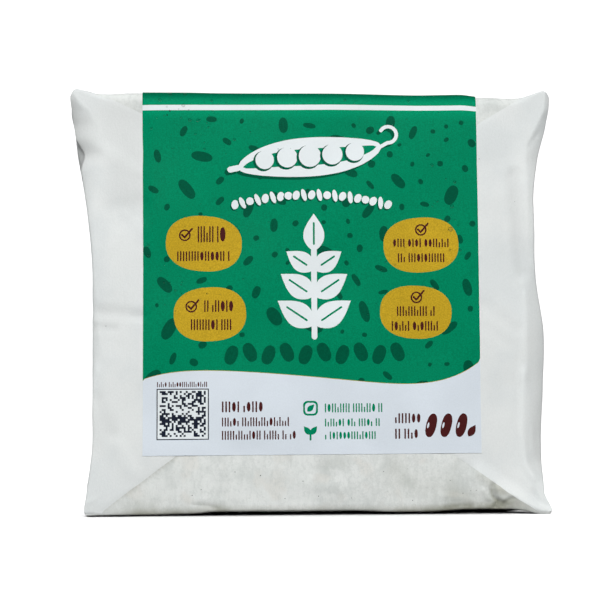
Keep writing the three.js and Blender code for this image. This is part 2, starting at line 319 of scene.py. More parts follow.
@dataclass(frozen=True)
class PackForm:
    """The wrapped block. Every point of its box has a place on the pack."""

    width: float = 117.2
    depth: float = 27.0
    height: float = 111.8
    edge: float = 2.4
    side_edge: float = 0.35
    side_edge_reach: float = 9.0
    low_edge: float = 0.75
    low_edge_reach: float = 30.0
    corner_power: float = 5.0
    lean: float = 2.0
    pillow: float = 1.1
    lump: float = 0.22
    lump_lengths: Point2 = (7.1, 5.3)
    reach_starts: float = 43.0
    top_edge_length: float = 12.0
    lower_edge_length: float = 9.0
    lift_depths: Point2 = (3.0, -5.0)
    tuck_depths: Point2 = (-5.5, -11.4)
    front_depths: Point2 = (0.0, -9.0)
    settle: float = 0.26  # how far the whole sinks onto its foot
    settle_height: float = 0.9
    crease_facing: Point2 = (0.35, 0.85)
    crumple: float = 0.16
    crumples: tuple[Point3, ...] = ((1.0, 13.0, 4.7), (0.4, 13.0 * 0.36, 4.7 + 9.0))  # share, size and seed
    crumple_fades: float = 4.0
    label_sides: Point2 = (-45.5, 43.2)
    label_bottom: float = 16.0
    label_calm: float = 4.0

    @property
    def half(self) -> Array:
        """Half of the block's width, depth and height."""
        return np.array([self.width, self.depth, self.height]) / 2.0

    def outward(self, box: Array) -> tuple[Array, Array, Array]:
        """Splits points of the box into the core below them and their direction.

        Args:
            box: Points on the box.

        Returns:
            The nearest points of the core, the unit directions out of it, and the edge radii.
        """
        climb = smooth(0.0, self.low_edge_reach, box[..., 2] + self.half[2])
        aside = smooth(self.half[0] - self.side_edge_reach, self.half[0] - 1.0, np.abs(box[..., 0]))
        radius = self.low_edge + (self.edge - self.low_edge) * climb
        radius = np.minimum(radius, self.edge + (self.side_edge - self.edge) * aside)
        core = self.half - radius[..., None]
        inner = np.clip(box, -core, core)
        away = box - inner
        return inner, away / np.linalg.norm(away, axis=-1, keepdims=True), radius

    def sharpened(self, outward: Array) -> Array:
        """Draws rounded directions out into the crisper corners of folded paper.

        Args:
            outward: Unit directions.

        Returns:
            The directions, longer towards the corners seen from the front.
        """
        seen = np.hypot(outward[..., 0], outward[..., 2])
        safe = np.where(seen > 0.0, seen, 1.0)
        total = sum(np.abs(outward[..., axis] / safe) ** self.corner_power for axis in (0, 2))
        factor = np.where(seen > 0.0, total, 1.0) ** (-1.0 / self.corner_power)
        return outward * np.stack([factor, np.ones_like(factor), factor], -1)

    def swell(self, point: Array) -> None:
        """Swells the two large faces a little, unevenly, and sets the top of the front back.

        Args:
            point: Places on the pack, changed in place.
        """
        x, y, z = (point[..., axis].copy() for axis in range(3))
        facing = y / self.half[1]
        across = np.clip(1.0 - (x / self.half[0]) ** 2, 0.0, None)
        up = np.clip(1.0 - (z / self.half[2] - 1.0) ** 2, 0.0, None)
        rises = np.sin(x / self.lump_lengths[0] + 0.7) * np.sin(z / self.lump_lengths[1] + facing)
        point[..., 1] += facing * (self.pillow * np.sqrt(across * up) + self.lump * rises)
        point[..., 1] += self.lean * np.clip(-facing, 0.0, 1.0) * (z / self.height)

    def spread(self, point: Array) -> None:
        """Widens the sides to the reach of their paper, turns their edges back and pinches the corners.

        Args:
            point: Places on the pack, changed in place.
        """
        x, z = point[..., 0].copy(), point[..., 2].copy()
        side = np.sign(x)
        at_wall = smooth(self.reach_starts, self.half[0], np.abs(x))
        for reach in REACHES:
            share = at_wall * (side == reach.side)
            point[..., 0] += side * share * reach.out * smooth(reach.start, reach.end, z)
        for tuck in TUCKS:
            at_front = smooth(*self.tuck_depths, point[..., 1]) * (side == tuck.side)
            point[..., 0] -= side * (tuck.depth * bump(tuck.height, tuck.reach, z) * at_wall * at_front)
        for corner in CORNERS:
            near = at_wall * bump(corner.height, corner.length, z) * (side == corner.side)
            point[..., 1] += (corner.fold - point[..., 1]) * corner.pinch * near
        for turned in TURNED_EDGES:
            heights, ridges, depths = np.transpose(turned.stations)
            ridge = np.interp(z, heights, ridges)
            beyond = np.clip((np.abs(x) - ridge) / (self.half[0] - ridge), 0.0, 1.0)
            at_front = smooth(*self.front_depths, point[..., 1]) * (side == turned.side)
            point[..., 1] += np.interp(z, heights, depths) * beyond**turned.power * at_front

    def uneven_edges(self, point: Array) -> None:
        """Raises and lowers the top edge, and lifts the front's lower edge where it is off the table.

        Args:
            point: Places on the pack, changed in place.
        """
        x, y, z = (point[..., axis].copy() for axis in range(3))
        at_top = smooth(self.height - self.top_edge_length, self.height, z)
        at_front = smooth(self.lower_edge_length, 0.0, z) * smooth(*self.lift_depths, y)
        for part in TOP_EDGE:
            point[..., 2] += part.rise * at_top * bump(part.centre, part.reach, x)
        for *ends, lift in LOWER_EDGE:
            point[..., 2] += lift * at_front * plateau(*ends, x)

    def trim(self, point: Array) -> None:
        """Draws the folded-in corners back to their lines.

        Args:
            point: Places on the pack, changed in place.
        """
        for part in TRIMS:
            along = np.subtract(part.end, part.start)
            out = np.array([along[1], -along[0]]) / np.linalg.norm(along)
            past = (point[..., [0, 2]] - np.array(part.start)) @ out
            past = part.softness * np.logaddexp(0.0, past / part.softness)
            point[..., [0, 2]] -= (1.0 - part.left_over) * past[..., None] * out

    def bare(self, box: Array) -> Array:
        """How far the paper at a point of the box is from lying under the label.

        Args:
            box: Points on the box.

        Returns:
            0 well under the label, and 1 outside it.
        """
        left, right = self.label_sides
        across = np.maximum(left - box[..., 0], box[..., 0] - right)
        down = (self.label_bottom - self.half[2]) - box[..., 2]
        return smooth(-self.label_calm, 0.0, np.maximum(across, down))

    def folds(self, box: Array, outward: Array) -> Array:
        """The height of the creases above the plain form.

        Args:
            box: Points on the box.
            outward: Their unit directions.

        Returns:
            One height for each point.
        """
        place = box + np.array([0.0, 0.0, self.half[2]])
        height = np.zeros(box.shape[:-1])
        for crease in CREASES:
            axis, sign, across, up = crease.face.value
            facing = smooth(*self.crease_facing, sign * outward[..., axis])
            t = np.clip(distance_to(crease.path, place[..., [across, up]]) / crease.width, 0.0, 1.0)
            profile = (1.0 - crease.crisp) * (1.0 - t * t) ** 2 + crease.crisp * (1.0 - t) ** 2
            height += crease.height * facing * profile
        return height * self.bare(box)

    def relief(self, box: Array, outward: Array) -> Array:
        """The height of creases and crumpled paper above the plain form.

        Args:
            box: Points on the box.
            outward: Their unit directions.

        Returns:
            One height for each point.
        """
        place = box + np.array([0.0, 0.0, self.half[2]])
        flat = place.reshape(-1, 3)
        crumple = sum(share * noise_at(flat, size, seed) for share, size, seed in self.crumples)
        fading = smooth(0.0, self.crumple_fades, place[..., 2])
        crumple = self.crumple * crumple.reshape(box.shape[:-1]) * fading
        return self.folds(box, outward) + crumple * self.bare(box)

    def surface(self, box: Array) -> tuple[Array, Array]:
        """The places of the paper for points of the box.

        Args:
            box: Points on the box.

        Returns:
            The places, and the unit directions in which a layer on top of them rises.
        """
        inner, outward, radius = self.outward(box)
        point = inner + self.sharpened(outward) * radius[..., None]
        point[..., 2] += self.half[2]
        self.swell(point)
        self.spread(point)
        self.uneven_edges(point)
        self.trim(point)
        point[..., 2] -= self.settle * smooth(0.0, self.settle_height, point[..., 2])
        return point + outward * self.relief(box, outward)[..., None], outward

    def place(self, box: Array, rise: Values) -> Array:
        """The places on the pack of a layer that lies this high above the paper."""
        point, outward = self.surface(box)
        return point + outward * np.asarray(rise)[..., None]


# ---- Meshes ----


@dataclass
class Surface:
    """Points and faces under construction, with a finish number for each face."""

    points: Array
    faces: Faces
    finishes: list[int] = field(default_factory=list)

    def closed(self, inner: Array, rim_finish: int = 0) -> "Surface":
        """Makes a thin body of an open sheet: the sheet, a lower layer and the rim between them.

        Args:
            inner: The lower layer's points, one below each point of the sheet.
            rim_finish: The finish number of the rim and the lower layer.

        Returns:
            The closed body.
        """
        count = len(self.points)
        edges: dict[tuple[int, int], int] = {}
        for face in self.faces:
            for a, b in zip(face, face[1:] + face[:1]):
                edges[(a, b)] = edges.get((a, b), 0) + 1
        border = [(a, b) for a, b in edges if (b, a) not in edges]
        lower = [tuple(i + count for i in reversed(face)) for face in self.faces]
        rim = [(b, a, a + count, b + count) for a, b in border]
        marks = self.finishes or [0] * len(self.faces)
        return Surface(
            np.concatenate([self.points, inner]),
            [*self.faces, *lower, *rim],
            [*marks, *([rim_finish] * (len(lower) + len(rim)))],
        )


def grid_faces(rows: int, columns: int) -> Faces:
    """Four-sided faces of a grid of points that are numbered row by row.

    Args:
        rows: The number of rows of points.
        columns: The number of points in a row.

    Returns:
        The faces.
    """
    return [
        (r * columns + c, r * columns + c + 1, (r + 1) * columns + c + 1, (r + 1) * columns + c)
        for r in range(rows - 1)
        for c in range(columns - 1)
    ]


def new_object(name: str, data: bpy.types.ID) -> Object:
    """Links a new object at the origin.

    Args:
        name: The object's name.
        data: The mesh, light or camera that it shows.

    Returns:
        The object.
    """
    made = bpy.data.objects.new(name, data)
    bpy.context.scene.collection.objects.link(made)
    return made


def build_object(
    name: str, surface: Surface, materials: Sequence[Material], values: dict[str, Array] | None = None
) -> Object:
    """Makes a smooth-shaded object at the origin from a surface in millimetres.

    Args:
        name: The object's name.
        surface: The points and faces.
        materials: The finishes, in the order of the surface's finish numbers.
        values: Named numbers for each point, for the materials.

    Returns:
        The linked object.
    """
    mesh = bpy.data.meshes.new(name)
    mesh.from_pydata((surface.points * METRES).tolist(), [], surface.faces)
    for material in materials:
        mesh.materials.append(material)
    if surface.finishes:
        mesh.polygons.foreach_set("material_index", surface.finishes)
    mesh.shade_smooth()
    mesh.set_sharp_from_angle(angle=RIM_ANGLE)
    for label, numbers in (values or {}).items():
        attribute = mesh.attributes.new(label, "FLOAT", "POINT")
        attribute.data.foreach_set("value", numbers.astype(np.float32))
    mesh.validate()
    mesh.update()
    return new_object(name, mesh)


def attach(piece: Object, slot: str, *nodes: str) -> Object:
    """Fixes a piece to the pack's body and hides the solids it stands for.

    Args:
        piece: The finished piece.
        slot: The material slot that it takes its finish from; not used.
        nodes: The solids that it replaces.

    Returns:
        The piece.
    """
    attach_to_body(piece, BODY)
    if nodes:
        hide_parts(*nodes)
    return piece


# ---- Finishes ----


def add_node(tree: NodeTree, kind: str, inputs: Inputs | None = None, **settings: object) -> Node:
    """Adds a node to a tree.

    Args:
        tree: The tree.
        kind: Blender's name for the kind of node.
        inputs: Sockets to link from, or values to set, by the input's name or number.
        settings: The node's own properties.

    Returns:
        The node.
    """
    made = tree.nodes.new(kind)
    for name, value in settings.items():
        setattr(made, name, value)
    for key, value in (inputs or {}).items():
        if isinstance(value, Socket):
            tree.links.new(value, made.inputs[key])
        else:
            made.inputs[key].default_value = value
    return made


class Shader:
    """A material under construction, with short ways to add its nodes."""

    def __init__(self, name: str) -> None:
        """Starts an empty material.

        Args:
            name: The material's name.
        """
        self.material = bpy.data.materials.new(name)
        self.material.use_nodes = True
        self.material.node_tree.nodes.clear()
        self.node = partial(add_node, self.material.node_tree)
        self.output = self.node("ShaderNodeOutputMaterial")
        self.place = self.node("ShaderNodeTexCoord").outputs["Object"]

    def noise(self, sizes: Point3 | float, detail: float = 2.0, rough: float = 0.5) -> Socket:
        """Smooth noise, about 0.5 in the middle.

        Args:
            sizes: Its size, or its sizes along X, Y and Z.
            detail: How many finer layers it has.
            rough: How strong the finer layers are.

        Returns:
            The noise.
        """
        scale = tuple(1.0 / (size * METRES) for size in np.broadcast_to(sizes, 3))
        place = self.node("ShaderNodeMapping", {"Vector": self.place, "Scale": scale}).outputs["Vector"]
        inputs = {"Vector": place, "Scale": 1.0, "Detail": detail, "Roughness": rough}
        return self.node("ShaderNodeTexNoise", inputs).outputs["Fac"]

    def remap(self, value: Socket, source: Point2, target: Point2) -> Socket:
        """Maps a value smoothly from the source range to the target range."""
        inputs = dict(zip(("Value", "From Min", "From Max", "To Min", "To Max"), (value, *source, *target)))
        return self.node("ShaderNodeMapRange", inputs, interpolation_type="SMOOTHSTEP").outputs["Result"]

    def maths(self, operation: str, first: object, second: object) -> Socket:
        """Joins two numbers or sockets by Blender's operation of this name."""
        return self.node("ShaderNodeMath", {0: first, 1: second}, operation=operation).outputs[0]

    def blend(self, share: object, first: object, second: object, mode: str = "MIX") -> Socket:
        """Mixes two colours.

        Args:
            share: The share of the second colour.
            first: The first colour or its socket.
            second: The second.
            mode: Blender's name for the way of mixing.

        Returns:
            The mixed colour.
        """
        colours = ((*part, 1.0) if isinstance(part, tuple) else part for part in (first, second))
        inputs = dict(zip(MIX_INPUTS, (share, *colours)))
        return self.node("ShaderNodeMix", inputs, data_type="RGBA", blend_type=mode).outputs[MIX_OUTPUT]

    def patched(self, base: object, other: object, pattern: Socket, source: Point2, most: float) -> Socket:
        """Brings in up to a share of another colour where a pattern rises through the source range."""
        return self.blend(self.remap(pattern, source, (0.0, most)), base, other)

    def varied(self, colour: object, pattern: Socket, low: float, high: float) -> Socket:
        """Makes a colour darker and lighter by a pattern, between two factors."""
        return self.blend(1.0, colour, self.remap(pattern, SPAN, (low, high)), "MULTIPLY")

    def attribute(self, name: str) -> Socket:
        """Reads a number that the mesh carries for each point."""
        return self.node("ShaderNodeAttribute", attribute_name=name).outputs["Fac"]

    def finish(self, inputs: Inputs, relief: Socket | None = None, depth: float = 0.0) -> Material:
        """Adds the shader itself.

        Args:
            inputs: The shader's inputs.
            relief: The height of the fine relief, or None.
            depth: How deep that relief is.

        Returns:
            The finished material.
        """
        if relief is not None:
            heights = {"Height": relief, "Distance": depth * METRES, "Strength": 1.0}
            inputs = {**inputs, "Normal": self.node("ShaderNodeBump", heights).outputs["Normal"]}
        shader = self.node("ShaderNodeBsdfPrincipled", inputs)
        self.material.node_tree.links.new(shader.outputs["BSDF"], self.output.inputs["Surface"])
        return self.material


@dataclass(frozen=True)
class PaperFinish:
    """White kitchen paper, which lets the pressed beans show through where one layer clings to them."""

    name: str = "white_paper"
    white: Colour = (0.737, 0.762, 0.753)
    cool: Colour = (0.69, 0.722, 0.72)
    light: Colour = (0.745, 0.77, 0.75)
    grey: Colour = (0.55, 0.585, 0.565)
    beige: Colour = (0.68, 0.67, 0.625)
    # colour of damp paper and of the painted shade by the foot and along the flaps' edges
    damp: Colour = (0.3, 0.305, 0.25)
    roughness: Point2 = (0.58, 0.74)
    fibre_depth: float = 0.035
    crease_light_and_shade: float = 0.16  # how much each millimetre of crease height lightens the paper as painted light on ridges and darkens it as painted shade in valleys

    def material(self) -> Material:
        """Builds the material, which reads three point values: how closely the paper clings, its damp and
        painted shade, and its crease height, which paints light on ridges and shade in valleys.

        Returns:
            The material.
        """
        shader = Shader(self.name)
        clouds = shader.noise((14.0, 14.0, 18.0), 3.0)
        patches = shader.noise((6.0, 6.0, 7.5), 5.0, 0.62)
        beans = shader.noise((7.5, 7.5, 6.0), 2.0)
        streaks = shader.noise((0.8, 0.8, 4.5), 2.0, 0.6)
        fibres = shader.noise((0.42, 0.42, 0.55), 3.0, 0.7)
        specks = shader.noise((1.1, 1.1, 1.3), 3.0, 0.7)
        veins = shader.maths("SUBTRACT", shader.noise((3.2, 3.2, 3.8), 4.0, 0.6), 0.5)
        veins = shader.remap(shader.maths("ABSOLUTE", veins, 0.0), (0.0, 0.06), (0.3, 0.0))
        veins = shader.maths("MULTIPLY", veins, shader.remap(clouds, (0.4, 0.6), (0.2, 1.0)))
        # Damp and painted shade: the clinging paper darkens towards this colour by the foot and along the
        # flaps' edges
        damp = shader.remap(patches, (0.25, 0.6), (0.5, 1.0))
        damp = shader.maths("MULTIPLY", shader.attribute("damp"), damp)
        plain = shader.patched(self.white, self.cool, clouds, (0.4, 0.66), 1.0)
        under = shader.patched(self.light, self.grey, patches, (0.42, 0.68), 0.55)
        under = shader.patched(under, self.beige, beans, (0.54, 0.7), 0.5)
        under = shader.blend(veins, under, self.grey)
        under = shader.patched(under, self.grey, specks, (0.5, 0.68), 0.35)
        under = shader.blend(damp, shader.varied(under, streaks, 0.98, 1.015), self.damp)
        colour = shader.blend(shader.attribute("cling"), plain, under)
        # Painted light on crease ridges and painted shade in crease valleys
        folded = shader.maths("ADD", shader.maths("MULTIPLY", shader.attribute("fold"), self.crease_light_and_shade), 1.0)
        colour = shader.varied(shader.blend(1.0, colour, folded, "MULTIPLY"), fibres, 0.975, 1.02)
        rough = shader.remap(patches, (0.35, 0.65), self.roughness)
        relief = shader.maths("ADD", fibres, shader.maths("MULTIPLY", streaks, 0.6))
        inputs = {"Base Color": colour, "Roughness": rough, "Specular IOR Level": 0.35}
        return shader.finish(inputs, relief, self.fibre_depth)


class Ink(Enum):
    """The colours of the label's print, in the order of its finish numbers."""

    GREEN = 0
    LEAF_SHADE = 1
    PALE = 2
    WHITE = 3
    OCHRE = 4
    BROWN = 5
    NIGHT = 6
    CUT = 7


@dataclass(frozen=True)
class InkFinish:
    """Ink on satin paper: a fine grain, a little sheen, the paper's faint relief, and for some inks a painted
    highlight below the top fold and painted shade over it.
    """

    name: str
    colour: Colour
    grain: float = 0.08
    roughness: Point2 = (0.4, 0.5)
    # how much a painted highlight lightens the ink just below the top fold; top_shade is the fold's painted
    # shade
    top_painted_highlight: float = 1.24
    top_shade: float = 1.0
    lit: Point2 = (0.1035, 0.107)  # heights in metres over which a painted highlight lightens the ink below the fold
    shaded: Point2 = (0.1084, 0.1114)  # and over which the ink darkens into the fold's painted shade
    relief_depth: float = 0.006

    def material(self) -> Material:
        """Builds the material.

        Returns:
            The material.
        """
        shader = Shader(self.name)
        clouds = shader.noise(16.0, 2.0)
        colour = shader.varied(self.colour, shader.noise(0.34, 2.0, 0.7), 1.0 - self.grain, 1.0 + self.grain)
        colour = shader.varied(colour, clouds, 0.97, 1.03)
        # Painted highlight just below the top fold, then painted shade over the fold
        if self.top_shade != 1.0:
            height = shader.node("ShaderNodeSeparateXYZ", {"Vector": shader.place}).outputs["Z"]
            rise = shader.remap(height, self.lit, (1.0, self.top_painted_highlight))
            shade = shader.remap(height, self.shaded, (1.0, self.top_shade / self.top_painted_highlight))
            colour = shader.blend(1.0, colour, shader.maths("MULTIPLY", rise, shade), "MULTIPLY")
        rough = shader.remap(clouds, SPAN, self.roughness)
        inputs = {"Base Color": colour, "Roughness": rough, "Specular IOR Level": 0.012}
        return shader.finish(inputs, shader.noise(0.9, 3.0, 0.6), self.relief_depth)


INKS: dict[Ink, InkFinish] = {
    Ink.GREEN: InkFinish("green_ink", (0.0, 0.222, 0.105), 0.16, top_shade=0.56),
    Ink.LEAF_SHADE: InkFinish("deep_green_ink", (0.0, 0.088, 0.044), 0.16, top_shade=0.7),
    Ink.PALE: InkFinish("pale_ink", (0.69, 0.75, 0.81), 0.02),
    Ink.WHITE: InkFinish("white_ink", (0.765, 0.815, 0.83), 0.015),
    Ink.OCHRE: InkFinish("ochre_ink", (0.52, 0.34, 0.02), 0.16),
    Ink.BROWN: InkFinish("brown_ink", (0.068, 0.013, 0.013), 0.1),
    Ink.NIGHT: InkFinish("night_ink", (0.012, 0.016, 0.03), 0.1),
    Ink.CUT: InkFinish("cut_paper", (0.8, 0.83, 0.82), 0.02),
}


@dataclass(frozen=True)
class WaterFinish:
    """A drop of water: clear in the middle, with painted shade at its upper rim and painted caustic light at
    its lower one.
    """

    name: str = "water"
    shaded: Colour = (0.0, 0.045, 0.025)
    lit: Colour = (0.16, 0.52, 0.34)
    middle: float = 0.08
    rim: float = 0.95

    def material(self) -> Material:
        """Builds the material.

        Returns:
            The material.
        """
        shader = Shader(self.name)
        facing = shader.node("ShaderNodeLayerWeight", {"Blend": 0.5}).outputs["Facing"]
        slope = shader.node("ShaderNodeNewGeometry").outputs["Normal"]
        slope = shader.node("ShaderNodeSeparateXYZ", {"Vector": slope}).outputs["Z"]
        inputs = {
            # Painted light: painted shade on the drop's upper side, painted caustic light on its lower side
            "Base Color": shader.blend(shader.remap(slope, (-0.7, 0.0), (1.0, 0.0)), self.shaded, self.lit),
            "Roughness": shader.remap(shader.noise(0.8, 1.0), SPAN, (0.06, 0.12)),
            "IOR": 1.33,
            "Specular IOR Level": 0.2,
            "Alpha": shader.remap(facing, (0.1, 0.7), (self.middle, self.rim)),
        }
        return shader.finish(inputs)


@dataclass(frozen=True)
class BranFinish:
    """Dry dark flecks of bean skin."""

    name: str = "bran"
    dark: Colour = (0.003, 0.005, 0.004)
    light: Colour = (0.014, 0.018, 0.014)
    relief_depth: float = 0.03

    def material(self) -> Material:
        """Builds the material.

        Returns:
            The material.
        """
        shader = Shader(self.name)
        spots = shader.noise(0.5, 2.0)
        colour = shader.patched(self.dark, self.light, spots, (0.35, 0.65), 1.0)
        inputs = {"Base Color": colour, "Roughness": 0.9, "Specular IOR Level": 0.05}
        return shader.finish(inputs, spots, self.relief_depth)


# ---- The paper ----


@dataclass
class PaperWrap:
    """The sheet of paper round the cake, over all six sides of the block."""

    form: PackForm
    finish: Material
    step: float = 0.82
    fine_step: float = 0.4
    fine_across: Point2 = (40.5, 54.0)  # where the grid is finer for the small folds by the right flap
    fine_up: Point2 = (2.6, 10.0)
    edge_steps: int = 9
    cling_facing: Point2 = (0.15, 0.7)
    cling_margins: Point2 = (1.0, 12.0)  # how far in from a side the paper begins to cling, and clings fully
    cling_by_side: float = 0.25
    # painted shade along the foot, where the paper turns under towards the table
    foot_painted_shade: float = 0.5
    foot_painted_shade_height: float = 2.6
    # Strokes of damp and painted shade along the flaps' lower and upper edges, by the foot and beside the
    # right flap
    damp_and_shade_strokes: tuple[tuple[tuple[Point2, ...], float, float], ...] = (
        # path, width and strength
        (((43.5, 10.4), (50.0, 4.8), (56.0, 0.8)), 1.9, 0.42),
        (((46.2, 7.4), (48.2, 5.6)), 1.2, 0.24),
        (((45.6, 6.4), (45.9, 4.0), (46.8, 2.4), (46.4, 0.8)), 0.4, 0.42),
        (((50.6, 3.4), (48.8, 2.0), (48.4, 0.8)), 0.6, 0.4),
        (((47.6, 1.6), (52.6, 1.7), (58.0, 0.4)), 1.7, 0.75),
        (((22.0, 0.0), (46.0, 0.8)), 1.7, 0.45),
        (((33.0, 0.6), (39.5, 0.8)), 1.0, 0.3),
        (((36.0, 4.2), (46.0, 3.8)), 2.6, 0.26),
        (((22.0, 8.6), (34.0, 7.0)), 4.5, 0.24),
        (((-46.0, 0.0), (-25.0, 0.2)), 1.9, 0.35),
        (((-31.0, 2.3), (-26.5, 1.5)), 1.0, 0.25),
        (((-52.0, 2.4), (-43.0, 2.4)), 2.0, 0.2),
        (((1.0, 14.0), (6.0, 14.5)), 2.2, 0.12),
        (((20.0, 12.0), (20.5, 14.0)), 2.6, 0.16),
        (((-54.0, 1.4), (-50.7, 5.0), (-43.0, 11.5), (-36.9, 16.0)), 0.9, 0.2),
        (((-54.1, 1.3), (-50.7, 5.0), (-48.3, 7.3), (-43.0, 11.5), (-36.9, 16.0)), 0.35, 0.3),
        (((-34.6, 99.7), (-45.4, 106.1), (-50.6, 110.1)), 0.8, 0.1),
        (((35.2, 98.6), (43.4, 103.75), (50.2, 109.9)), 0.8, 0.1),
    )

    def lines(self, half: float, fine: Point2 | None) -> list[float]:
        """Grid lines along one side of the box, closer together over its rounded edges.

        Args:
            half: Half the side's length.
            fine: A stretch where they are closer together as well, or None.

        Returns:
            The places of the lines.
        """
        flat = half - self.form.edge
        ends = sorted({-flat, *(fine or ()), flat})
        lines = steps(-half, -flat, self.edge_steps)
        for start, end in zip(ends, ends[1:]):
            step = self.fine_step if (start, end) == fine else self.step
            lines = chain(lines, steps(start, end, max(2, round((end - start) / step))))
        return chain(lines, steps(flat, half, self.edge_steps))

    def box_mesh(self) -> tuple[Array, Faces]:
        """The grid over the whole box, with shared points along its edges.

        Returns:
            The box points and the faces, which point outwards.
        """
        half = self.form.half
        up = tuple(height - half[2] for height in self.fine_up)
        lines = [self.lines(size, fine) for size, fine in zip(half, (self.fine_across, None, up))]
        numbers: dict[tuple[int, int, int], int] = {}
        points: list[Point3] = []
        faces: Faces = []

        def number(key: tuple[int, int, int]) -> int:
            """Finds or adds a grid point.

            Args:
                key: The numbers of the three lines that cross there.

            Returns:
                The point's number.
            """
            if key not in numbers:
                numbers[key] = len(points)
                points.append(tuple(lines[axis][key[axis]] for axis in range(3)))
            return numbers[key]

        for axis in range(3):
            first, second = (axis + 1) % 3, (axis + 2) % 3
            for end in (0, len(lines[axis]) - 1):
                for i in range(len(lines[first]) - 1):
                    for j in range(len(lines[second]) - 1):
                        corners = []
                        for di, dj in ((0, 0), (1, 0), (1, 1), (0, 1)):
                            key = [0, 0, 0]
                            key[axis], key[first], key[second] = end, i + di, j + dj
                            corners.append(number(tuple(key)))
                        faces.append(tuple(corners if end else reversed(corners)))
        return np.array(points), faces

    def cling(self, box: Array, outward: Array) -> Array:
        """How closely the one layer of paper lies on the beans.

        Args:
            box: Points on the box.
            outward: Their unit directions.

        Returns:
            0 where the paper stands free, up to 1 where it clings.
        """
        facing = smooth(*self.cling_facing, np.maximum(np.abs(outward[..., 1]), np.abs(outward[..., 2])))
        near, far = (self.form.half[0] - margin for margin in self.cling_margins)
        inward = smooth(near, far, np.abs(box[..., 0]))
        return facing * (self.cling_by_side + (1.0 - self.cling_by_side) * inward)

    def damp(self, box: Array) -> Array:
        """How damp the paper is and how much shade is painted on it: most by the foot's edge, along the
        flaps' edges and beside the right flap.

        Args:
            box: Points on the box.

        Returns:
            0 for dry, unshaded paper, up to 1 for damp paper in full painted shade.
        """
        place = box[..., [0, 2]] + np.array([0.0, self.form.half[2]])
        at_front = smooth(*self.form.front_depths, box[..., 1])
        share = self.foot_painted_shade * smooth(self.foot_painted_shade_height, 0.0, place[..., 1])
        for path, width, strength in self.damp_and_shade_strokes:
            share = share + strength * at_front * np.exp(-((distance_to(path, place) / width) ** 2))
        return np.clip(share, 0.0, 1.0)

    def build(self) -> Object:
        """Makes the wrap.

        Returns:
            The wrap's object.
        """
        box, faces = self.box_mesh()
        points, outward = self.form.surface(box)
        values = {
            "cling": self.cling(box, outward),
            "damp": self.damp(box),
            "fold": self.form.folds(box, outward),
        }
        return build_object("paper_wrap", Surface(points, faces), [self.finish], values)


# The flaps' edges on the front, from the foot to the top
LEFT_FLAP = (
    (-54.9, 0.0), (-54.1, 1.3), (-50.7, 5.0), (-48.3, 7.3), (-43.0, 11.5), (-36.9, 16.0), (-34.6, 17.8),
    (-34.6, 99.7), (-45.4, 106.1), (-48.2, 108.1), (-50.6, 110.1), (-53.5, 111.8),
)
RIGHT_FLAP = (
    (56.0, 0.0), (55.2, 0.84), (54.1, 1.4), (53.0, 1.93), (51.6, 3.0), (50.2, 4.75), (47.7, 7.45),
    (45.3, 9.35), (42.2, 11.55), (40.2, 13.0), (37.5, 14.85), (35.2, 16.4), (35.2, 98.6), (43.4, 103.75),
    (46.3, 106.05), (48.3, 108.05), (50.2, 109.9), (52.1, 111.8),
)


